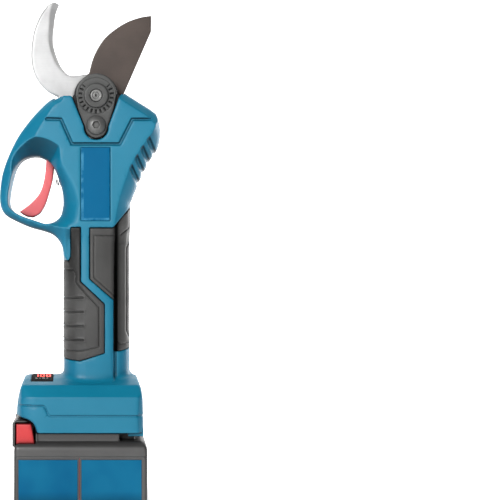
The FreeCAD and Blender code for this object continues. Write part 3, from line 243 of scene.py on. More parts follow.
class Nodes:
    """A small helper for building one material's node tree."""

    def __init__(self, name):
        self.material = bpy.data.materials.new(name)
        self.material.use_nodes = True
        self.tree = self.material.node_tree
        self.shader = self.tree.nodes["Principled BSDF"]
        self.place = self.add("ShaderNodeTexCoord").outputs["Object"]

    def add(self, kind, **settings):
        node = self.tree.nodes.new(kind)
        for key, value in settings.items():
            setattr(node, key, value)
        return node

    def link(self, source, target):
        self.tree.links.new(source, target)

    def stretched(self, scale):
        """Object coordinates scaled by axis, so that noise runs in streaks."""
        mapping = self.add("ShaderNodeMapping")
        mapping.inputs["Scale"].default_value = scale
        self.link(self.place, mapping.inputs["Vector"])
        return mapping.outputs["Vector"]

    def noise(self, scale, detail=3.0, vector=None):
        node = self.add("ShaderNodeTexNoise")
        node.inputs["Scale"].default_value = scale
        node.inputs["Detail"].default_value = detail
        self.link(vector or self.place, node.inputs["Vector"])
        return node.outputs["Fac"]

    def ramp(self, factor, stops):
        node = self.add("ShaderNodeValToRGB")
        elements = node.color_ramp.elements
        while len(elements) < len(stops):
            elements.new(0.5)
        for element, (position, color) in zip(elements, stops):
            element.position = position
            element.color = (*color, 1)
        self.link(factor, node.inputs["Fac"])
        return node.outputs["Color"]

    def blend(self, factor, a, b, mode="MIX"):
        node = self.add("ShaderNodeMix", data_type="RGBA", blend_type=mode)
        self.link(factor, node.inputs["Factor"])
        for socket, value in ((node.inputs["A"], a), (node.inputs["B"], b)):
            if isinstance(value, tuple):
                socket.default_value = (*value, 1)
            else:
                self.link(value, socket)
        return node.outputs["Result"]

    def spread(self, factor, low, high):
        node = self.add("ShaderNodeMapRange")
        node.inputs["From Min"].default_value = 0.3
        node.inputs["From Max"].default_value = 0.7
        node.inputs["To Min"].default_value = low
        node.inputs["To Max"].default_value = high
        self.link(factor, node.inputs["Value"])
        return node.outputs["Result"]

    def times(self, color, shade):
        """A colour multiplied by a shade."""
        node = self.add("ShaderNodeMix", data_type="RGBA", blend_type="MULTIPLY")
        node.inputs["Factor"].default_value = 1.0
        self.link(color, node.inputs["A"])
        self.link(shade, node.inputs["B"])
        return node.outputs["Result"]

    def parts(self, vector):
        """The X, Y and Z of a vector."""
        node = self.add("ShaderNodeSeparateXYZ")
        self.link(vector, node.inputs["Vector"])
        return node.outputs["X"], node.outputs["Y"], node.outputs["Z"]

    def size_of(self, value):
        """A value without its sign."""
        node = self.add("ShaderNodeMath", operation="ABSOLUTE")
        self.link(value, node.inputs[0])
        return node.outputs[0]

    def painted_crevice_shade(self, color, reach=0.006, depth=0.16):
        """Painted shade: darken a colour in grooves and corners, where shade falls."""
        hidden = self.add("ShaderNodeAmbientOcclusion")
        hidden.samples = 8
        hidden.inputs["Distance"].default_value = reach
        return self.times(color, self.ramp(hidden.outputs["AO"], (
            (0.45, (depth, depth, depth)), (0.95, (1, 1, 1)))))

    def painted_underside_shade(self, color, depth):
        """Painted shade: darken the faces that look down."""
        facing = self.parts(self.add("ShaderNodeNewGeometry").outputs["Normal"])
        down = self.spread_from(facing[2], -0.80, -0.25)
        return self.times(color, self.ramp(down, (
            (0.0, (depth * 0.5, depth, depth)), (1.0, (1, 1, 1)))))

    def painted_slope_shade(self, color, level, lifted):
        """Painted shade: darken the faces that turn away from the two broad sides.

        level is the tone of the upright and lower ones and lifted that of the upper ones."""
        facing = self.parts(self.add("ShaderNodeNewGeometry").outputs["Normal"])
        flat = self.spread_from(self.size_of(facing[1]), 0.84, 0.985)
        tone = self.blend(self.spread_from(facing[2], 0.2, 0.6), level, lifted)
        return self.times(color, self.blend(flat, tone, (1.0, 1.0, 1.0)))

    def spread_from(self, value, low, high):
        """Rescale a value so that low becomes 0 and high becomes 1."""
        node = self.add("ShaderNodeMapRange")
        node.inputs["From Min"].default_value = low
        node.inputs["From Max"].default_value = high
        self.link(value, node.inputs["Value"])
        return node.outputs["Result"]

    def worn_edges(self, sharp=0.56):
        """1 on convex edges, broken up by noise."""
        pointed = self.add("ShaderNodeNewGeometry").outputs["Pointiness"]
        edge = self.ramp(pointed, ((sharp - 0.03, (0, 0, 0)), (sharp + 0.04, (1, 1, 1))))
        patchy = self.ramp(self.noise(140.0), ((0.42, (0, 0, 0)), (0.62, (1, 1, 1))))
        return self.blend(patchy, (0.0, 0.0, 0.0), edge)

    def relief(self, layers):
        """Bumps from (height, distance in metres) pairs."""
        normal = None
        for height, distance in layers:
            node = self.add("ShaderNodeBump")
            node.inputs["Distance"].default_value = distance
            node.inputs["Strength"].default_value = 1.0
            self.link(height, node.inputs["Height"])
            if normal is not None:
                self.link(normal, node.inputs["Normal"])
            normal = node.outputs["Normal"]
        self.link(normal, self.shader.inputs["Normal"])


def plastic(name, light, dark, worn, rough=(0.34, 0.46), grain=0.00002, coat=0.0, under=0.75,
            slopes=None):
    """Moulded plastic: slow colour drift, spark-eroded texture, paler worn edges.

    under is how dark the painted shade makes the faces that look down. slopes holds the two
    painted shades of the faces that turn away from the broad sides, where these are painted."""
    n = Nodes(name)
    drift = n.ramp(n.noise(22.0, 4.0), ((0.35, dark), (0.65, light)))
    edged = n.blend(n.worn_edges(), drift, worn)
    if slopes:
        edged = n.painted_slope_shade(edged, *slopes)
    # Painted shade in grooves and corners and on the faces that look down.
    n.link(n.painted_underside_shade(n.painted_crevice_shade(edged), under), n.shader.inputs["Base Color"])
    n.link(n.spread(n.noise(60.0, 5.0), *rough), n.shader.inputs["Roughness"])
    n.relief(((n.noise(1900.0, 2.0), grain), (n.noise(55.0, 2.0), 0.00006)))
    n.shader.inputs["Coat Weight"].default_value = coat
    n.shader.inputs["Coat Roughness"].default_value = 0.25
    return n.material


def rubber(name, light, dark, worn):
    """Soft overmoulded rubber with a fine leathery stipple; its colour carries painted shade."""
    n = Nodes(name)
    drift = n.ramp(n.noise(35.0, 5.0), ((0.35, dark), (0.65, light)))
    edged = n.blend(n.worn_edges(0.55), drift, worn)
    # Painted shade: a dark band along the rear crease, its sheen turned down there too.
    x, _, z = n.parts(n.place)
    beside = n.add("ShaderNodeMath", operation="SUBTRACT")
    n.link(x, beside.inputs[0])
    beside.inputs[1].default_value = CREASE_X * MM + 0.0008
    away = n.spread_from(n.size_of(beside.outputs[0]), 0.0, 0.006)
    crease = n.ramp(away, (
        (0.12, (0.02, 0.02, 0.02)), (0.36, (0.42, 0.42, 0.42)), (0.75, (1, 1, 1))))
    n.link(n.ramp(away, ((0.15, (0.02, 0.02, 0.02)), (0.45, (0.45, 0.45, 0.45)))),
           n.shader.inputs["Specular IOR Level"])
    # Painted shadow of the head's overhang, darkest at the top of the front pad.
    overhang_shadow = n.ramp(n.spread_from(z, 0.145, 0.172), (
        (0.0, (0.78, 0.78, 0.78)), (1.0, (0.20, 0.20, 0.20))))
    front = n.blend(n.spread_from(x, 0.001, 0.004), overhang_shadow, (1, 1, 1))
    shaded_rubber = n.times(n.times(edged, crease), front)
    # Painted shade in grooves and corners.
    n.link(n.painted_crevice_shade(shaded_rubber, 0.004), n.shader.inputs["Base Color"])
    n.link(n.spread(n.noise(90.0, 4.0), 0.42, 0.56), n.shader.inputs["Roughness"])
    cells = n.add("ShaderNodeTexVoronoi")
    cells.inputs["Scale"].default_value = 1300.0
    n.link(n.place, cells.inputs["Vector"])
    n.relief(((cells.outputs["Distance"], 0.00003), (n.noise(70.0), 0.00005)))
    return n.material


def metal(name, light, dark, rough, streak=(60.0, 60.0, 1400.0), metallic=1.0, marks=0.00001):
    """Ground or coated metal: fine streaks, uneven gloss, bright worn edges."""
    n = Nodes(name)
    along = n.noise(1.0, 6.0, n.stretched(streak))
    tone = n.ramp(along, ((0.3, dark), (0.7, light)))
    stain = n.ramp(n.noise(45.0, 6.0), ((0.35, (0.82, 0.82, 0.82)), (0.6, (1, 1, 1))))
    bright = tuple(min(1.0, c * 1.5 + 0.04) for c in light)
    color = n.blend(n.worn_edges(0.57), n.times(tone, stain), bright)
    # Painted shade in grooves and corners.
    n.link(n.painted_crevice_shade(color, 0.003, 0.25), n.shader.inputs["Base Color"])
    n.link(n.spread(along, *rough), n.shader.inputs["Roughness"])
    n.shader.inputs["Metallic"].default_value = metallic
    n.relief(((along, marks), (n.noise(160.0, 4.0), 0.00001)))
    return n.material


def film(name, light, dark):
    """A printed label film: faint soft-edged shapes and a satin sheen."""
    n = Nodes(name)
    cloud = n.ramp(n.noise(26.0, 2.0), ((0.38, dark), (0.62, light)))
    shade = n.ramp(n.parts(n.place)[2], ((0.003, (0.55, 0.55, 0.55)), (0.012, (1, 1, 1))))
    n.link(n.times(cloud, shade), n.shader.inputs["Base Color"])
    n.link(n.spread(n.noise(80.0, 4.0), 0.30, 0.42), n.shader.inputs["Roughness"])
    n.relief(((n.noise(900.0, 2.0), 0.00001), (n.noise(30.0), 0.00004)))
    return n.material


def glow(name, color, strength):
    """A lit display segment, a little uneven."""
    n = Nodes(name)
    uneven = n.ramp(n.noise(700.0), ((0.3, tuple(c * 0.7 for c in color)), (0.7, color)))
    n.link(uneven, n.shader.inputs["Base Color"])
    n.link(uneven, n.shader.inputs["Emission Color"])
    n.shader.inputs["Emission Strength"].default_value = strength
    n.shader.inputs["Roughness"].default_value = 0.3
    return n.material


# The blue shell carries strong painted shade on faces that look down and on its slopes.
BLUE = plastic(
    "housing_blue", (0.026, 0.246, 0.387), (0.020, 0.224, 0.358), (0.10, 0.38, 0.54), under=0.22,
    slopes=((0.20, 0.78, 0.84), (0.15, 0.97, 1.0)))
PLATE_BLUE = plastic("plate_blue", (0.002, 0.142, 0.310), (0.001, 0.128, 0.285), (0.05, 0.28, 0.48))
LABEL_BLUE = film("label_blue", (0.006, 0.165, 0.320), (0.002, 0.128, 0.275))
for matte, gloss in ((BLUE, 0.3), (PLATE_BLUE, 0.1), (LABEL_BLUE, 0.1)):
    matte.node_tree.nodes["Principled BSDF"].inputs["Specular IOR Level"].default_value = gloss
RUBBER = rubber("grip_rubber", (0.078, 0.077, 0.075), (0.062, 0.061, 0.060), (0.14, 0.13, 0.125))
RED = plastic("trigger_red", (0.880, 0.150, 0.165), (0.820, 0.125, 0.140), (0.92, 0.30, 0.30))
LATCH_RED = plastic("latch_red", (0.780, 0.058, 0.062), (0.720, 0.045, 0.050), (0.92, 0.22, 0.22))
TRIM_RED = plastic("trim_red", (0.300, 0.045, 0.055), (0.240, 0.035, 0.045), (0.40, 0.10, 0.10))
BLACK = plastic("moulded_black", (0.016, 0.016, 0.017), (0.011, 0.011, 0.012), (0.06, 0.06, 0.06))
# The pack's grey carries painted shade on its slopes.
PACK_GREY = plastic(
    "pack_grey", (0.110, 0.108, 0.106), (0.092, 0.091, 0.090), (0.17, 0.17, 0.17),
    slopes=((0.42, 0.42, 0.42), (0.48, 0.48, 0.48)))
STEEL = metal(
    "polished_steel", (0.66, 0.66, 0.66), (0.62, 0.62, 0.62), (0.34, 0.46),
    metallic=0.25, marks=0.000002)
COATED = metal(
    "coated_blade", (0.096, 0.071, 0.060), (0.086, 0.064, 0.054), (0.42, 0.56),
    metallic=0.25, marks=0.000006)
PLATE_METAL = metal(
    "plate_metal", (0.098, 0.099, 0.097), (0.082, 0.083, 0.081), (0.42, 0.55), metallic=0.4)
BOLT_STEEL = metal(
    "bolt_steel", (0.27, 0.27, 0.265), (0.21, 0.21, 0.205), (0.38, 0.50), metallic=0.6)
SCREW_STEEL = metal(
    "screw_steel", (0.190, 0.190, 0.186), (0.155, 0.155, 0.152), (0.36, 0.48), metallic=0.5)
BLACK_STEEL = metal(
    "black_steel", (0.030, 0.030, 0.032), (0.020, 0.020, 0.022), (0.38, 0.55), metallic=0.5)
DARK_STEEL = metal("dark_steel", (0.17, 0.17, 0.18), (0.11, 0.11, 0.12), (0.30, 0.45))
GEAR_STEEL = metal("gear_steel", (0.56, 0.56, 0.57), (0.42, 0.42, 0.43), (0.25, 0.40))
BRONZE = metal("bronze", (0.60, 0.38, 0.18), (0.46, 0.28, 0.13), (0.30, 0.45))
ALUMINIUM = metal("aluminium_case", (0.66, 0.67, 0.69), (0.55, 0.56, 0.58), (0.38, 0.52))
BRASS = metal("contact_brass", (0.78, 0.57, 0.26), (0.66, 0.46, 0.20), (0.20, 0.34))
NICKEL = metal("nickel_strip", (0.68, 0.66, 0.60), (0.58, 0.56, 0.51), (0.24, 0.38))
BOARD = plastic(
    "circuit_board", (0.012, 0.110, 0.045), (0.008, 0.085, 0.033), (0.25, 0.33, 0.18), coat=0.4)
WIRE = plastic("wire_cover", (0.42, 0.03, 0.025), (0.34, 0.02, 0.02), (0.55, 0.12, 0.10))
SLEEVE = plastic(
    "cell_sleeve", (0.03, 0.26, 0.19), (0.02, 0.21, 0.15), (0.10, 0.35, 0.28), coat=0.3)
DISPLAY = plastic(
    "display_black", (0.006, 0.006, 0.007), (0.004, 0.004, 0.005), (0.02, 0.02, 0.02),
    rough=(0.55, 0.65), grain=0.000002)
DISPLAY.node_tree.nodes["Principled BSDF"].inputs["Specular IOR Level"].default_value = 0.05
DIGIT_RED = glow("digit_red", (1.0, 0.05, 0.03), 3.0)
MARK_GREY = plastic("mark_grey", (0.40, 0.38, 0.34), (0.32, 0.30, 0.27), (0.5, 0.5, 0.5))


# ---------------------------------------------------------------- outlines, in the X-Z plane

LEFT_EDGE = smooth([
    (-16.9, 299.8), (-23.7, 296.6), (-33.0, 287.6), (-40.5, 278.7), (-46.8, 269.6), (-51.4, 260.7),
    (-55.2, 251.8), (-58.1, 242.7), (-59.6, 233.8), (-60.18, 224.0), (-58.8, 216.5), (-55.2, 211.4),
    (-47.3, 206.9), (-37.2, 202.6), (-27.5, 200.0), (-20.7, 197.3), (-16.2, 193.0), (-13.4, 187.5),
    (-12.2, 181.0),
])
PALM_EDGE = smooth([
    (36.6, 205.0), (36.8, 219.0), (38.6, 224.0), (43.6, 236.5), (50.9, 251.4), (57.6, 262.0),
    (59.7, 274.0), (57.6, 284.6), (51.8, 290.2),
])
SILHOUETTE = (
    LEFT_EDGE + [(-6.0, 174.0), (30.0, 174.0)] + PALM_EDGE + [(30.7, 303.4), (-6.5, 299.8)])
LOOP = smooth([
    (-12.8, 219.0), (-13.6, 229.2), (-16.2, 238.1), (-20.6, 248.6), (-28.9, 254.9), (-37.0, 255.6),
    (-45.3, 251.6), (-50.9, 241.0), (-53.9, 223.2), (-51.3, 215.8), (-44.1, 211.3), (-31.1, 206.8),
    (-25.9, 205.4), (-19.9, 206.8), (-15.0, 211.3), (-12.8, 219.0),
])[:-1]
LOOP_MIDDLE = (-33.0, 232.0)
PALM_CREASE = smooth([
    (56.2, 286.0), (54.2, 275.5), (48.2, 267.0), (43.8, 260.6), (39.9, 254.2), (35.9, 246.3),
    (30.4, 230.4), (26.2, 214.0), (24.6, 203.0), (24.6, 190.0),
])
PALM_SIDE = PALM_CREASE + [(75.0, 190.0), (75.0, 288.0)]
PALM_NOTCHES = (165.0, 157.9, 151.0, 144.2)
TOP_BEVEL = [(27.0, 305.8), (30.7, 303.4), (51.8, 290.2), (57.6, 284.6)]
PANEL_GROOVE = [
    (-25.2, 282.3), (-14.5, 282.1), (-6.4, 263.9), (28.7, 263.9), (38.0, 282.1), (51.3, 282.1),
]
V_RECESS = (
    [(-6.4, 312.0), (-6.4, 298.7), (2.4, 277.0)]
    + arc(11.4, 276.2, 9.05, 185, 355)
    + [(20.4, 277.0), (28.6, 299.4), (31.0, 303.0), (31.0, 312.0)]
)
HEAD_BAY = [
    (-21.0, 276.0), (-12.0, 266.4), (35.0, 266.4), (44.0, 276.0), (44.0, 290.0),
    (32.0, 301.0), (32.0, 308.0), (-14.0, 308.0), (-20.0, 297.0),
]
FOOT_SIDE = [
    (-47.0, 48.0), (-47.2, 66.9), (-46.5, 75.7), (-44.6, 84.0), (-42.0, 90.5), (-38.5, 93.0),
    (38.4, 93.0), (42.1, 91.2), (44.4, 84.4), (45.3, 77.1), (45.6, 65.5), (45.6, 48.0),
]
FOOT_END = [
    (-35.0, 48.0), (-35.3, 66.0), (-34.6, 79.2), (-27.0, 87.2), (-14.0, 90.6), (0.0, 92.7),
    (14.0, 90.6), (27.0, 87.2), (34.6, 79.2), (35.3, 66.0), (35.0, 48.0),
]
HANDLE_HALF_SECTION = (
    [(-12.6, 0.0), (-12.6, 4.0)]
    + smooth([(-12.6, 4.0), (-11.5, 9.6), (-8.4, 14.6), (-3.4, 18.3), (3.2, 20.0)])
    + smooth([(3.2, 20.0), (11.0, 20.0), (18.0, 19.2), (24.4, 17.4)])
    + smooth([(25.4, 15.6), (29.8, 13.6), (33.6, 10.2), (36.0, 5.8), (36.8, 1.5)])
    + [(36.8, 0.0)]
)
HANDLE_SECTION = HANDLE_HALF_SECTION + [(x, -y) for x, y in reversed(HANDLE_HALF_SECTION)]
ARCH = (
    [(-56.0, 40.0), (-31.6, 40.0), (-31.7, 51.5)]
    + smooth([
        (-31.7, 51.5), (-32.3, 55.4), (-33.5, 58.5), (-35.7, 61.1), (-39.6, 62.9), (-47.0, 64.3),
        (-56.0, 64.9),
    ])
)
FOOT_STEP = (
    [(-60.0, 73.0), (-27.8, 73.0)]
    + smooth([(-27.8, 73.0), (-26.0, 72.2), (-23.4, 66.6), (-21.4, 65.6)])
    + [(60.0, 65.6)]
)
FRONT_GRIP = [
    (-20.0, 178.0), (-8.8, 178.0), (-7.5, 181.0), (-7.5, 202.6), (0.0, 202.6), (0.0, 162.6),
    (17.6, 146.0), (17.6, 109.7), (-0.5, 103.8), (-20.0, 105.6),
]
FRONT_GROOVE = [
    (-20.0, 172.0), (-5.4, 171.4), (-3.6, 168.8), (-3.4, 162.0), (-1.5, 159.3), (13.4, 143.6),
    (13.4, 114.3), (0.2, 111.2), (-20.0, 111.8),
]
FRONT_RIBS = (150.6, 140.2, 129.6, 119.4)
REAR_GRIP = [
    (6.5, 202.2), (23.9, 202.2), (38.5, 219.8), (45.0, 219.8), (45.0, 113.4), (38.0, 113.0),
    (29.1, 110.8), (24.2, 110.8), (24.2, 148.9), (6.5, 164.4),
]
REAR_GROOVES = (
    [(23.6, 196.6), (9.9, 196.6), (9.9, 165.6), (24.2, 152.8), (27.3, 149.0), (27.3, 118.4),
     (29.6, 115.8), (45.0, 117.8)],
    [(29.8, 197.5), (35.6, 202.2)],
    [(45.0, 191.5), (35.8, 191.5), (34.2, 188.0), (34.2, 125.3), (35.8, 121.4), (45.0, 121.4)],
)
CASE_SCREWS = [
    (-7.4, 125.0), (-7.4, 171.0), (31.4, 125.0), (31.4, 190.0), (-13.5, 201.0), (-36.0, 269.0),
    (48.0, 259.0), (50.0, 280.0), (-42.5, 72.0), (42.5, 72.0),
]
PLATE_LOW, PLATE_HIGH = cad_box("nameplate_left")
NAMEPLATE = [
    (PLATE_LOW.x, PLATE_LOW.z), (PLATE_HIGH.x, PLATE_LOW.z),
    (PLATE_HIGH.x, PLATE_HIGH.z), (PLATE_LOW.x, PLATE_HIGH.z),
]


# ---------------------------------------------------------------- housing

SHELL_STEP = 0.6
PAD_STEP = 0.45
LEFT_BEVEL, TOP_BEVEL_FALL, TOP_BEVEL_WIDTH = 7.5, 6.5, 6.3
PALM_FALL = 12.5        # from the palm's crease to the silhouette
RIDGE_DEPTH = 2.2
PANEL_GROOVE_DEPTH = 1.4
NECK_LOW, NECK_HIGH = 184.0, 207.0      # where the head narrows to the handle
NECK_SINK = 2.6
PLATE_POCKET_DEPTH = 0.75
PAD_GAP, PAD_DEPTH, PAD_POCKET_DEPTH = 0.12, 1.6, 1.75
PAD_PROUD = 0.3
SEAM_GAP = 0.07         # from each half's edge to the parting plane
SCREW_WELL_RADIUS, SCREW_WELL_FLOOR = 2.8, 8.0
GRIP_GROOVE_DEPTH = 0.75
LEFT_BAY, RIGHT_BAY = 15.8, 14.8        # inner faces of the two cheeks beside the gear case
# Round spaces about the motor's axis: radius, lowest Z and highest Z.
ROUND_SPACES = (
    (17.2, 120.0, 246.0),       # motor and gearbox
    (9.6, 245.0, 263.0),        # pinion bearing
    (9.4, 262.0, 274.0),        # bevel pinion
    (13.0, 80.0, 122.0),        # wires
)
# Square spaces: X, Y and Z ranges.
BOX_SPACES = (
    ((-31.0, -9.5), (-5.8, 5.8), (228.0, 268.5)),       # trigger
    ((-12.5, -3.5), (-3.6, 3.6), (247.6, 266.5)),       # switch
    ((-38.0, 38.0), (-28.0, 28.0), (66.0, 83.0)),       # control board
    ((-60.0, 40.0), (-27.0, 27.0), (56.2, 62.5)),       # pack's rail
    ((-60.0, 40.0), (-22.0, 22.0), (40.0, 57.0)),       # rail's neck
    ((21.8, 38.2), (-17.2, 17.2), (62.0, 67.0)),        # terminals
    ((-36.6, -20.4), (-19.6, 19.6), (82.0, 99.0)),      # display
)


def loop_drop(g):
    """Distance to the trigger loop, and how far the side face falls away round it."""
    beyond = to_outline(g.x, g.z, LOOP)
    angle = np.degrees(np.arctan2(g.z - LOOP_MIDDLE[1], g.x - LOOP_MIDDLE[0]))
    turns = [-180, -150, -100, -70, -45, 40, 62, 100, 128, 150, 180]
    width = np.interp(angle, turns, [2.4, 2.6, 2.6, 4, 8, 8, 13.5, 13.5, 11, 4, 2.4])
    depth = np.interp(angle, turns, [2.6, 2.8, 2.8, 4, 8, 8, 15, 15, 11, 4, 2.6])
    rear = np.interp(angle, [-70, -45, 40, 60], [0, 1, 1, 0])
    rear_width = np.interp(g.z, [200, 219, 240, 262], [15, 14, 9, 4])
    rear_depth = np.interp(g.z, [200, 219, 240, 262], [14, 13, 9, 6])
    width = width * (1 - rear) + rear_width * rear
    depth = depth * (1 - rear) + rear_depth * rear
    reach = np.clip(beyond / width, 0, 1)
    return beyond, depth * (1 - reach) ** (1 + 0.9 * rear)


def head_field(g):
    """The head and the trigger guard, as a silhouette under a height map."""
    silhouette = to_outline(g.x, g.z, SILHOUETTE)
    loop, drop = loop_drop(g)
    left = to_path(g.x, g.z, LEFT_EDGE)
    left_width = np.interp(g.z, [184, 262, 269, 283, 298, 304], [12, 12, 11, 8.4, 4.4, 3.4])
    drop = np.maximum(drop, LEFT_BEVEL * (1 - np.clip(left / left_width, 0, 1)))
    top = to_path(g.x, g.z, TOP_BEVEL)
    drop = np.maximum(drop, TOP_BEVEL_FALL * (1 - np.clip(top / TOP_BEVEL_WIDTH, 0, 1)))

    inside = np.maximum(-silhouette, 0)
    share = inside / (inside + to_path(g.x, g.z, PALM_CREASE) + 0.01)
    share = np.where(to_outline(g.x, g.z, PALM_SIDE) < 0, share, 1.0)
    fall = 1 - share
    palm = PALM_FALL * (0.62 * fall + 0.38 * (1 - np.sqrt(np.clip(1 - fall ** 2, 0, 1))))
    across = g.x * 0.893 + g.z * 0.450
    ridges = sum(1 - between(np.abs(across - line), 0.9, 2.0) for line in PALM_NOTCHES)
    in_palm = between(fall, 0.0, 0.12) * between(g.z, 233.0, 236.0)
    drop = np.maximum(drop, palm) + RIDGE_DEPTH * ridges * in_palm
    silhouette = silhouette + 1.3 * ridges * in_palm * between(g.x, 38.0, 42.0)

    groove = to_path(g.x, g.z, PANEL_GROOVE)
    drop = drop + PANEL_GROOVE_DEPTH * between(-groove, -1.3, -0.7)
    neck = (1 - between(g.z, NECK_LOW, NECK_HIGH)) * between(g.x, -12.0, -6.0)
    handle = np.interp(g.x, *zip(*HANDLE_HALF_SECTION[1:-1]))
    height = (HEAD_FACE - drop) * (1 - neck) + (handle - NECK_SINK) * neck
    body = meet(silhouette, raised(g, height), 2.2)
    return carve(body, loop, 1.6)


def handle_field(g):
    section = to_outline(g.x, g.y, HANDLE_SECTION)
    crease = 1.5 * bump(np.abs(g.x - CREASE_X), 3.4) * (1 - between(g.z, 203.0, 214.0))
    return meet(meet(section + crease, 86.0 - g.z, 1.0), g.z - 222.0, 8.0)


def foot_field(g):
    side = to_outline(g.x, g.z, FOOT_SIDE)
    end = to_outline(g.y, g.z, FOOT_END)
    body = meet(side, end, 2.4)
    width = np.abs(g.y)
    left_corner = (width - g.x - (47.2 + 35.3)) * math.sqrt(0.5) + 4.6
    right_corner = (width + g.x - (45.6 + 35.3)) * math.sqrt(0.5) + 3.2
    body = meet(meet(body, left_corner, 7.0), right_corner, 1.2)
    body = meet(body, 53.0 - g.z, 0.8)
    tab = to_box(g, (34.4, 45.6), (-31.0, 31.0), (50.3, 56.0))
    body = join(body, tab, 0.6)
    body = carve(body, to_outline(g.x, g.z, ARCH), 2.2)
    step = to_path(g.x, g.z, FOOT_STEP)
    return body + 0.8 * bump(step, 2.0) * between(width, 24.0, 30.0)


def outer_field(g):
    """The whole tool body's outside, before it is hollowed."""
    body = join(head_field(g), handle_field(g), 2.5)
    body = join(body, foot_field(g), 5.0)
    floor = HEAD_FACE - PLATE_POCKET_DEPTH
    pocket = np.maximum(to_outline(g.x, g.z, NAMEPLATE) - 0.12, floor - np.abs(g.y))
    return np.maximum(body, -pocket)


def pad_zone(g, outer, outline, gap, depth):
    """The part of the skin under a rubber pad."""
    zone = np.maximum(to_outline(g.x, g.z, outline) + gap, -(outer + depth))
    return np.maximum(zone, 3.0 + gap - np.abs(g.y))


def bore(g, radius, x=AXIS_X, z=PIVOT_Z):
    """Distance to a round hole across the tool, on the blades' pivot if x and z aren't given."""
    return np.sqrt((g.x - x) ** 2 + (g.z - z) ** 2) - radius


def hexagon(g, half, x=AXIS_X, z=PIVOT_Z):
    """Distance to a six-sided prism across the tool. half is half its width over flats."""
    flats = [
        np.abs((g.x - x) * math.cos(a) + (g.z - z) * math.sin(a)) - half
        for a in np.radians([30, 90, 150])
    ]
    return np.maximum(np.maximum(flats[0], flats[1]), flats[2])


def rod(g, radius, low, high):
    """A round space about the motor's axis."""
    round_wall = np.sqrt((g.x - AXIS_X) ** 2 + g.y ** 2) - radius
    return np.maximum(round_wall, np.maximum(low - g.z, g.z - high))


def hollow(g, body, bay):
    """Take the bays for the mechanism, motor, switch, board and rail out of the body."""
    width = np.abs(g.y)
    bays = [np.maximum(to_outline(g.x, g.z, HEAD_BAY), width - bay)]
    bays += [rod(g, *space) for space in ROUND_SPACES]
    bays += [to_box(g, *space) for space in BOX_SPACES]
    for space in bays:
        body = np.maximum(body, -space)
    recess = np.maximum(to_outline(g.x, g.z, V_RECESS), bay - 1 - width)
    return carve(body, recess, 1.3)


def housing(hand, sign, bay):
    """One clamshell half. sign is -1 for the left one."""
    ends = sorted((sign * -1.8, sign * (FOOT_HALF + 1.8)))
    g = Grid((-62.4, ends[0], 47.4), (62.4, ends[1], 306.0), SHELL_STEP)
    outer = outer_field(g)
    half = meet(outer, sign * -g.y + SEAM_GAP, 0.7)
    for outline in (FRONT_GRIP, REAR_GRIP):
        half = carve(half, pad_zone(g, outer, outline, -0.05, PAD_POCKET_DEPTH), 0.5)
    half = hollow(g, half, bay)
    if sign > 0:
        for x, z in CASE_SCREWS:
            well = np.maximum(bore(g, SCREW_WELL_RADIUS, x, z), SCREW_WELL_FLOOR - g.y)
            half = carve(half, well, 0.6)
    solid(f"shell_{hand}", g, half, BLUE, "tool", [f"housing_{hand}"], 0.02)


def grip(name, node, sign, outline, cuts, rib_x=None):
    """A rubber pad: the skin of the handle inside an outline, with grooves and ribs."""
    xs = [x for x, z in outline]
    zs = [z for x, z in outline]
    ends = sorted((sign * 1.5, sign * 23.0))
    g = Grid(
        (max(min(xs), -15.0), ends[0], min(zs) - 1.5),
        (min(max(xs), 39.5), ends[1], max(zs) + 1.5), PAD_STEP)
    outer = outer_field(g)
    depth = sum(GRIP_GROOVE_DEPTH * bump(to_path(g.x, g.z, path), 1.5) for path in cuts)
    if rib_x is not None:
        for z in FRONT_RIBS:
            rib = to_path(g.x, g.z, [(-20.0, z), (rib_x, z)])
            depth = depth + GRIP_GROOVE_DEPTH * bump(rib, 1.6)
            depth = depth - 0.35 * bump(np.abs(rib - 1.3), 1.6)
    zone = pad_zone(g, outer, outline, PAD_GAP, PAD_DEPTH)
    pad = meet(zone, outer - PAD_PROUD + depth, 1.4)
    solid(name, g, pad, RUBBER, "tool", [node], 0.01)


def build_housing():
    for hand, sign, bay in (("left", -1, LEFT_BAY), ("right", 1, RIGHT_BAY)):
        housing(hand, sign, bay)
        grip(f"front_pad_{hand}", f"front_grip_{hand}", sign, FRONT_GRIP, [FRONT_GROOVE], 1.8)
        grip(f"rear_pad_{hand}", f"rear_grip_{hand}", sign, REAR_GRIP, REAR_GROOVES)
        low, high, g = node_grid(f"nameplate_{hand}", 1, 0.35)
        ranges = [(a + 0.1, b - 0.1) for a, b in zip(low, high)]
        solid(f"plate_{hand}", g, to_box(g, *ranges) - 0.05, PLATE_BLUE, "tool",
              [f"nameplate_{hand}"], 0.05)


# ---------------------------------------------------------------- blades

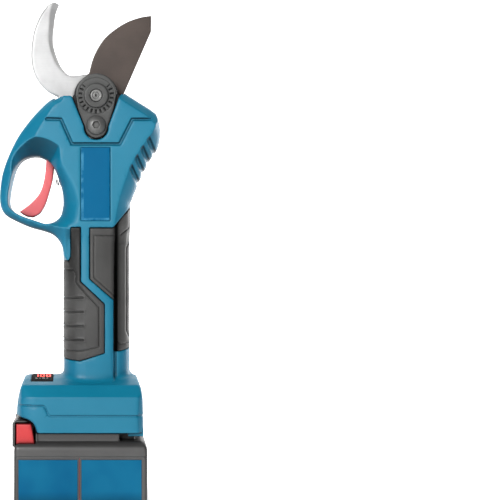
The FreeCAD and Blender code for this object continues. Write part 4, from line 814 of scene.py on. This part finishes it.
HOOK_OUTER = smooth([
    (-17.1, 301.5), (-26.2, 306.7), (-33.6, 315.9), (-36.9, 326.0), (-37.3, 338.0),
    (-35.2, 351.6), (-30.4, 363.2), (-25.2, 370.5),
])
HOOK_TIP = smooth([(-25.2, 370.5), (-20.2, 372.98), (-16.2, 371.8)])
HOOK_INNER = smooth([
    (-16.2, 371.8), (-18.9, 364.5), (-20.2, 355.0), (-21.0, 345.0), (-20.1, 338.0),
    (-17.4, 330.0), (-13.6, 322.8), (-7.3, 318.0), (6.3, 319.3),
])
HOOK_HEEL = smooth([(6.3, 319.3), (20.0, 317.2), (29.0, 308.0), (32.0, 297.0)])
HOOK = HOOK_OUTER + HOOK_TIP + HOOK_INNER + HOOK_HEEL + [
    (37.0, 290.0), (37.0, 281.0), (-10.0, 281.0), (-15.5, 286.0), (-15.5, 297.0),
]
CUTTING_EDGE = smooth([
    (6.3, 319.2), (8.9, 329.0), (13.1, 338.0), (19.9, 347.0), (32.4, 356.1),
    (43.9, 360.6), (53.1, 362.2),
])


def about_pivot(radius, degrees):
    angle = math.radians(degrees)
    return (AXIS_X + radius * math.cos(angle), PIVOT_Z + radius * math.sin(angle))


BLADE = CUTTING_EDGE + [(53.0, 356.0), (52.9, 350.2), (32.6, 303.8)] + [
    about_pivot(16.5, a) for a in np.linspace(-29.4, -214.0, 30)
]


def build_blades():
    low, high, g = node_grid("fixed_blade", 1, 0.4)
    inner = to_path(g.x, g.z, HOOK_INNER)
    width = np.interp(g.z, [316, 320, 328, 338, 350, 362, 373], [0.8, 1.2, 2.0, 2.7, 3.0, 3.8, 4.6])
    outer = to_path(g.x, g.z, HOOK_OUTER)
    front = low.y + 3.0 * (1 - np.clip(inner / width, 0, 1))
    front = np.maximum(front, low.y + 0.9 * (1 - np.clip(outer / 1.1, 0, 1)))
    hook = meet(to_outline(g.x, g.z, HOOK), front - g.y, 0.25)
    hook = meet(hook, g.y - high.y, 0.5)
    hook = carve(hook, bore(g, 6.5), 0.2)
    solid("hook_blade", g, hook, STEEL, "tool", ["fixed_blade"], 0.01)

    low, high, g = node_grid("moving_blade", 1, 0.35)
    edge = to_path(g.x, g.z, CUTTING_EDGE)
    front = low.y + 0.35 * (1 - np.clip(edge / 0.5, 0, 1))
    back = high.y - 2.5 * (1 - np.clip(edge / 4.5, 0, 1))
    blade = meet(to_outline(g.x, g.z, BLADE), front - g.y, 0.3)
    blade = meet(blade, g.y - back, 0.3)
    blade = carve(blade, bore(g, 6.55), 0.2)
    solid("cutting_blade", g, blade, COATED, "moving_cutter", ["moving_blade"],
          0.01)


# ---------------------------------------------------------------- pivot hardware

NUT_TEETH = 22


def build_pivot():
    low, high, g = node_grid("pivot_nut", 0.8, 0.22)
    across = bore(g, 0.0)
    disc = meet(across - 13.5, -17.93 - g.y, 0.05)
    disc = np.maximum(disc, g.y - high.y)
    boss = meet(across - 8.9, low.y - g.y, 0.7)
    boss = np.maximum(boss, g.y - high.y)
    nut = join(disc, boss, 0.4)
    angle = np.degrees(np.arctan2(g.z - PIVOT_Z, g.x - AXIS_X))
    pitch = 360 / NUT_TEETH
    near = np.abs((angle + 90 + pitch / 2) % pitch - pitch / 2) * np.radians(1) * across
    tooth = np.maximum(near - 0.55, np.abs(across - 11.7) - 1.35)
    tooth = np.maximum(tooth, g.y + 16.4)
    tooth = np.where((angle > 40) & (angle < 140), 3.0, tooth)
    nut = carve(nut, tooth, 0.2)
    nut = carve(nut, across - 4.55, 0.3)
    solid("serrated_nut", g, nut, PLATE_METAL, "tool", ["pivot_nut"], 0.01)

    low, high, g = node_grid("lock_plate", 0.8, 0.25)
    right = [(AXIS_X + 15.1, 301.5), (AXIS_X + 13.2, 290.0)]
    left = [(AXIS_X - 13.9, 290.0), (AXIS_X - 15.1, 301.5)]
    outline = (
        arc(AXIS_X, 301.5, 15.1, 180, 0, 30) + right
        + arc(AXIS_X, 276.9, 8.45, -5, -175, 20) + left
    )
    plate = to_outline(g.x, g.z, outline)
    plate = meet(plate, low.y - g.y, 0.9)
    plate = meet(plate, g.y - high.y, 0.3)
    plate = carve(plate, bore(g, 13.3), 0.02)
    plate = carve(plate, bore(g, 3.0, LOCK.x, LOCK.z), 0.2)
    solid("locking_plate", g, plate, PLATE_METAL, "tool", ["lock_plate"], 0.01)

    low, high, g = node_grid("lock_screw", 0.8, 0.22)
    across = bore(g, 0.0, LOCK.x, LOCK.z)
    crown = np.sqrt(across ** 2 + (g.y + 10.2) ** 2) - 10.9
    head = meet(across - 7.4, crown, 0.8)
    head = np.maximum(head, g.y + 17.92)
    socket = np.maximum(hexagon(g, 2.55, LOCK.x, LOCK.z), g.y + 19.0)
    head = carve(head, socket, 0.3)
    screw = np.minimum(head, np.maximum(across - 3.0, np.maximum(-18.1 - g.y, g.y - high.y)))
    solid("plate_screw", g, screw, SCREW_STEEL, "tool", ["lock_screw"], 0.01)

    low, high, g = node_grid("pivot_bolt", 0.8, 0.25)
    across = bore(g, 0.0)
    shank = meet(across - 4.45, low.y - g.y, 0.8)
    dimple = np.sqrt(across ** 2 + (g.y - low.y) ** 2) - 0.9
    ring = np.abs(across - 2.4) - 0.3
    shank = carve(shank, np.maximum(ring, g.y - low.y - 0.25), 0.2)
    shank = carve(shank, dimple, 0.3)
    shank = np.maximum(shank, g.y - 12.0)
    head = meet(hexagon(g, 6.9), across - 7.7 + 1.2 * np.maximum(g.y - 13.2, 0), 0.3)
    head = np.maximum(head, np.maximum(9.2 - g.y, g.y - high.y))
    solid("pivot_screw", g, np.minimum(shank, head), BOLT_STEEL, "tool", ["pivot_bolt"],
          0.01)


# ---------------------------------------------------------------- trigger and latch

def build_trigger():
    _, high, g = node_grid("trigger", 1, 0.35)
    pin = cad_middle("trigger_pin")
    top = arc(pin.x, pin.z, 4.6, 175, 0, 12)
    rear = smooth([
        (-20.0, 247.5), (-21.2, 238.5), (-23.5, 229.5), (-26.4, 220.5), (-30.5, 213.5),
        (-35.8, 210.4),
    ])
    toe = smooth([(-35.8, 210.4), (-41.0, 211.2), (-46.3, 214.5)])
    front = smooth([
        (-46.3, 214.5), (-38.1, 220.5), (-32.0, 227.0), (-28.7, 234.0), (-26.6, 245.0),
        (pin.x - 4.58, pin.z + 0.4),
    ])
    outline = top + [(-16.2, 252.6), (-16.2, 249.6)] + rear + toe + front
    side = to_outline(g.x, g.z, outline)
    dished = 0.4 * bump(to_path(g.x, g.z, front), 5.0) * (1 - (g.y / high.y) ** 2)
    lever = meet(side + dished, np.abs(g.y) - high.y, 1.2)
    lever = carve(lever, bore(g, 1.55, pin.x, pin.z), 0.2)
    solid("trigger_lever", g, lever, RED, "trigger_lever", ["trigger"], 0.01)


def build_latch():
    low, high, g = node_grid("latch_button", 1, 0.45)
    bar_low = low.x + 3.2
    outline = [(bar_low, low.z), (bar_low, high.z), (-35.8, high.z), (-33.1, low.z)]
    bar = meet(to_outline(g.x, g.z, outline), np.abs(g.y) - high.y, 1.8)
    ledge = to_box(g, (low.x + 0.5, bar_low + 2), (-11.5, 11.5), (52.5, 57.0)) - 0.5
    ribs = sum(bump(np.abs(g.y - y), 1.6) for y in (-8, -4, 0, 4, 8))
    button = join(bar, ledge + 0.5 * ribs * between(-g.x, 48.0, 49.0), 0.8)
    well = np.maximum(np.sqrt((g.x + 40.5) ** 2 + g.y ** 2) - 3.6, g.z - 51.0)
    button = carve(button, well, 0.2)
    solid("latch_bar", g, button, LATCH_RED, "latch", ["latch_button"], 0.01)


# ---------------------------------------------------------------- battery pack

RAIL_LOW, RAIL_HIGH = -31.5, 39.5
SEAM_OVERLAP = 0.15
LATCH_SHOULDERS = [
    (-49.7, 43.0), (-49.7, 59.5), (-46.6, 62.6), (-40.0, 62.2), (-36.4, 60.2), (-34.0, 57.4),
    (-32.8, 54.6), (-31.4, 51.4), (-31.4, 43.0),
]
BLADE_ROWS = (-14.0, -7.0, 0.0, 7.0, 14.0)
LABELS = [((-45.6, -1.7), -1), ((-0.1, 44.6), -1), ((-44.6, 0.1), 1), ((1.7, 45.6), 1)]
LABEL_FILM = 0.25
LABEL_MIDDLE_Z = 19.0


def rounded_block(g, inset=0.0, corner=3.0):
    """The pack's plan outline as a rounded rectangle, shrunk by inset."""
    half_x = PACK_HIGH.x - 0.01 - inset
    half_y = PACK_HIGH.y - 0.01 - inset
    u = np.abs(g.x) - half_x + corner
    v = np.abs(g.y) - half_y + corner
    outside = np.sqrt(np.maximum(u, 0) ** 2 + np.maximum(v, 0) ** 2)
    return outside + np.minimum(np.maximum(u, v), 0) - corner


def build_pack():
    g = grid_about(PACK_LOW, PACK_HIGH, 1.5, 0.55)
    wall = meet(rounded_block(g), -g.z, 3.0)
    wall = meet(wall, g.z - SEAM_Z - SEAM_OVERLAP, 0.1)
    inside = np.maximum(rounded_block(g, 2.0, 1.0), 2.0 - g.z)
    wall = np.maximum(wall, -inside)
    for (low, high), side in LABELS:
        panel = np.maximum(np.abs(g.x - (low + high) / 2) - (high - low) / 2 - 0.2,
                           np.abs(g.z - LABEL_MIDDLE_Z) - 16.2)
        wall = carve(wall, np.maximum(panel, PACK_HIGH.y - LABEL_FILM - 0.1 - side * g.y), 0.3)
    strip = np.maximum(np.abs(g.x + 0.9) - 0.5, PACK_HIGH.y - 0.5 + g.y)
    wall = carve(wall, np.maximum(strip, np.abs(g.z - LABEL_MIDDLE_Z) - 17.0), 0.2)
    solid("pack_tray", g, wall, PACK_GREY, "battery_pack", ["battery_case_lower"],
          0.02)

    low, high, g = node_grid("battery_case_upper", 1.5, 0.5)
    width = np.abs(g.y)
    lid = meet(rounded_block(g), SEAM_Z - SEAM_OVERLAP - g.z, 0.1)
    slope_y = (width - 37.0) * 0.625 + (g.z - 43.7) * 0.78
    slope_x = (np.abs(g.x) - 48.4) * 0.85 + (g.z - 43.7) * 0.53
    lid = meet(meet(meet(lid, slope_y, 2.6), slope_x, 2.0), g.z - 46.9, 1.0)
    tower = meet(to_outline(g.x, g.z, LATCH_SHOULDERS), width - 33.0, 1.6)
    lid = join(lid, tower, 1.0)
    neck = to_box(g, (-34.0, RAIL_HIGH), (-21.5, 21.5), (45.0, 58.0))
    plinth = to_box(g, (-32.0, 27.5), (-31.5, 31.5), (44.0, 52.1)) - 0.6
    lid = join(lid, plinth, 1.2)
    rail = to_box(g, (RAIL_LOW, RAIL_HIGH - 0.4), (-26.0, 26.0), (57.1, 61.7)) - 0.4
    middle = to_box(g, (-45.0, -31.0), (-26.0, 26.0), (56.7, 61.7)) - 0.4
    lid = np.minimum(np.minimum(lid, neck), np.minimum(rail, middle))
    spaces = [
        np.maximum(rounded_block(g, 2.0, 1.0), g.z - 39.4),
        to_box(g, (-28.0, 37.0), (-19.0, 19.0), (38.4, 56.0)),
        to_box(g, (-47.6, -32.7), (-34.0, 34.0), (40.4, 60.8)),
        to_box(g, (-55.0, -46.0), (-14.0, 14.0), (47.0, 60.8)),
    ]
    spaces += [to_box(g, (19.0, 45.0), (y - 1.2, y + 1.2), (55.0, 66.0)) for y in BLADE_ROWS]
    for space in spaces:
        lid = carve(lid, space, 0.4)
    solid("pack_lid", g, lid, PACK_GREY, "battery_pack", ["battery_case_upper"],
          0.02)

    for i, ((low_x, high_x), side) in enumerate(LABELS):
        face = side * (PACK_HIGH.y - LABEL_FILM / 2)
        g = Grid((low_x - 1, face - 1, 2.0), (high_x + 1, face + 1, 36.0), 0.25)
        core = to_box(g, (low_x + 0.7, high_x - 0.7), (face - 0.02, face + 0.02), (3.7, 34.3))
        nodes = ["battery_labels"] if i == 0 else []
        solid(f"label_{i}", g, np.maximum(core, 0) - 0.12, LABEL_BLUE, "battery_pack", nodes,
              0.05)
    g = Grid((-2.4, -PACK_HIGH.y - 1, 1.0), (0.6, -PACK_HIGH.y + 1.4, 37.0), 0.2)
    trim = to_box(g, (-1.05, -0.75), (-PACK_HIGH.y + 0.2, -PACK_HIGH.y + 0.5), (2.4, 35.6)) - 0.1
    solid("pack_trim", g, trim, TRIM_RED, "battery_pack", [], 0.02)


# ---------------------------------------------------------------- display

SEGMENTS = {
    "a": ((0, 2), (1, 2)), "b": ((1, 1), (1, 2)), "c": ((1, 0), (1, 1)), "d": ((0, 0), (1, 0)),
    "e": ((0, 0), (0, 1)), "f": ((0, 1), (0, 2)),
}
DIGITS = {"1": "bc", "0": "abcdef"}
SEGMENT_LENGTH, SEGMENT_HALF = 2.6, 0.42
DIGIT_Y = -8.4
THROUGH_ROOF = (86.0, 95.0)


def bar_between(a, b, thick):
    """The X and Y ends of a flat bar between two plan points."""
    x = sorted((a[0], b[0]))
    y = sorted((a[1], b[1]))
    return (x[0] - thick, x[1] + thick), (y[0] - thick, y[1] + thick)


def build_display():
    low, high = cad_box("display_module")
    g = Grid((low.x - 1, -20.8, low.z - 1), (high.x + 1, 20.8, high.z + 1.2), 0.3)
    cover = to_outline(g.y, g.z, FOOT_END)
    window = to_box(g, (low.x + 0.6, high.x - 0.6), (-19.0, 19.0), (low.z + 0.6, 96.0)) - 0.5
    window = meet(window, cover + 0.1, 0.4)
    solid("display_window", g, window, DISPLAY, "tool", ["display_module"], 0.05)

    g = Grid((low.x, -17.0, 88.0), (high.x, 0.0, 93.6), 0.14)
    cover = to_outline(g.y, g.z, FOOT_END)
    skin = np.maximum(cover - 0.04, -cover - 0.4)
    lit = np.full(g.shape, 9.0, np.float32)
    for place_x, digit in zip((-34.6, -30.0, -25.4), "100"):
        for key in DIGITS[digit]:
            ends = [(place_x + u * SEGMENT_LENGTH, DIGIT_Y + v * SEGMENT_LENGTH)
                    for u, v in SEGMENTS[key]]
            x, y = bar_between(*ends, SEGMENT_HALF)
            lit = np.minimum(lit, to_box(g, x, y, THROUGH_ROOF))
    solid("display_digits", g, np.maximum(lit, skin), DIGIT_RED, "tool", [], 0.02)

    marks = np.full(g.shape, 9.0, np.float32)
    for x, length in ((-33.6, 1.8), (-30.8, 1.2), (-28.6, 2.2), (-25.4, 1.4)):
        for end, y in ((x + length, (-14.2, -13.4)), (x + length - 0.4, (-12.2, -11.6))):
            marks = np.minimum(marks, to_box(g, (x, end), y, THROUGH_ROOF))
    solid("display_marks", g, np.maximum(marks, skin), MARK_GREY, "tool", [], 0.02)


# ---------------------------------------------------------------- carried-over CAD nodes

FINISHES = {
    DARK_STEEL: ["housing_screws", "hook_screws", "gear_case_screws", "sector_screws",
                 "battery_screws"],
    BLACK_STEEL: ["gear_case_front", "gear_case_back", "stator", "rotor_magnets"],
    BOLT_STEEL: ["pivot_washer"],
    BRONZE: ["pivot_bushing"],
    GEAR_STEEL: ["bevel_pinion", "sector_gear", "pinion_bearing", "planet_gear_1", "planet_gear_2",
                 "planet_gear_3", "planet_pins", "ring_gear", "motor_bearing_lower",
                 "motor_bearing_upper", "rotor_shaft", "trigger_pin", "trigger_spring",
                 "latch_spring"],
    ALUMINIUM: ["gearbox_cover", "motor_case", "board_capacitors"],
    BLACK: ["trigger_switch", "terminal_block", "board_transistors"],
    RED: ["switch_plunger"],
    BOARD: ["control_board", "battery_board"],
    WIRE: ["motor_wires"],
    BRASS: ["terminal_blades", "battery_terminals"],
    NICKEL: ["cell_strips"],
    SLEEVE: ["battery_cells"],
}


def finish_cad_nodes():
    """Give every CAD node that stays its material, and a fine bevel on its sharp edges."""
    for material, names in FINISHES.items():
        for name in names:
            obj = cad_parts[name]
            for slot in obj.material_slots:
                slot.material = material
            weld = obj.modifiers.new("weld", "WELD")
            weld.merge_threshold = 0.000005
            bevel = obj.modifiers.new("bevel", "BEVEL")
            bevel.width = 0.00018
            bevel.segments = 2
            bevel.limit_method = "ANGLE"
            bevel.angle_limit = math.radians(40)
            bevel.harden_normals = True


# ---------------------------------------------------------------- stage, lights, camera

def build_stage():
    """A pale floor that sweeps up into a wall behind the tool."""
    width, front, back, rise, radius = 4.0, -1.6, 1.4, 3.0, 0.7
    profile = [(front, 0.0)]
    profile += [
        (back - radius + radius * math.sin(a), radius - radius * math.cos(a))
        for a in np.linspace(0, math.pi / 2, 13)
    ]
    profile.append((back, rise))
    vertices = [(x, y, z) for x in (-width, width) for y, z in profile]
    count = len(profile)
    faces = np.array([(i, count + i, count + i + 1, i + 1) for i in range(count - 1)])
    mesh = bpy.data.meshes.new("studio_sweep")
    fill(mesh, vertices, [faces])
    mesh.shade_smooth()
    sweep = bpy.data.objects.new("studio_sweep", mesh)
    bpy.context.scene.collection.objects.link(sweep)
    n = Nodes("studio_white")
    paper = n.ramp(n.noise(3.0, 2.0), ((0.3, (0.90, 0.90, 0.90)), (0.7, (0.93, 0.93, 0.93))))
    n.link(paper, n.shader.inputs["Base Color"])
    n.shader.inputs["Roughness"].default_value = 0.9
    depth = n.add("ShaderNodeSeparateXYZ")
    n.link(n.place, depth.inputs["Vector"])
    lit = n.ramp(n.spread_from(depth.outputs["Y"], -0.12, 0.06), (
        (0.0, (0.03, 0.03, 0.03)), (1.0, (1.0, 1.0, 1.0))))
    n.link(lit, n.shader.inputs["Emission Color"])
    n.shader.inputs["Emission Strength"].default_value = 0.95
    mesh.materials.append(n.material)


def area_light(name, spot, target, size, power):
    data = bpy.data.lights.new(name, "AREA")
    data.shape = "RECTANGLE"
    data.size, data.size_y = size
    data.energy = power
    lamp = bpy.data.objects.new(name, data)
    lamp.location = spot
    direction = Vector(target) - Vector(spot)
    lamp.rotation_euler = direction.to_track_quat("-Z", "Y").to_euler()
    bpy.context.scene.collection.objects.link(lamp)


def build_lights():
    world = bpy.data.worlds.new("studio")
    world.use_nodes = True
    background = world.node_tree.nodes["Background"]
    background.inputs["Color"].default_value = (1, 1, 1, 1)
    background.inputs["Strength"].default_value = 0.10
    bpy.context.scene.world = world
    middle = (0.0, 0.0, 0.19)
    area_light("key", (-0.50, -1.20, 0.62), middle, (0.6, 0.6), 14.3)
    area_light("rim", (0.95, 0.80, 0.25), middle, (0.4, 0.9), 8.0)
    area_light("top", (0.10, 0.55, 1.20), (0.0, 0.15, 0.1), (1.2, 0.5), 2.0)


def build_camera():
    data = bpy.data.cameras.new("camera")
    data.lens = 80.0
    data.sensor_width = 36.0
    data.shift_x = 0.3386
    camera = bpy.data.objects.new("camera", data)
    camera.location = (0.0, -0.839, 0.1859)
    camera.rotation_euler = (math.pi / 2, 0.0, 0.0)
    bpy.context.scene.collection.objects.link(camera)
    bpy.context.scene.camera = camera
    bpy.context.scene.view_settings.view_transform = "Standard"


build_camera()
build_lights()
build_stage()
build_housing()
build_blades()
build_pivot()
build_trigger()
build_latch()
build_pack()
build_display()
finish_cad_nodes()
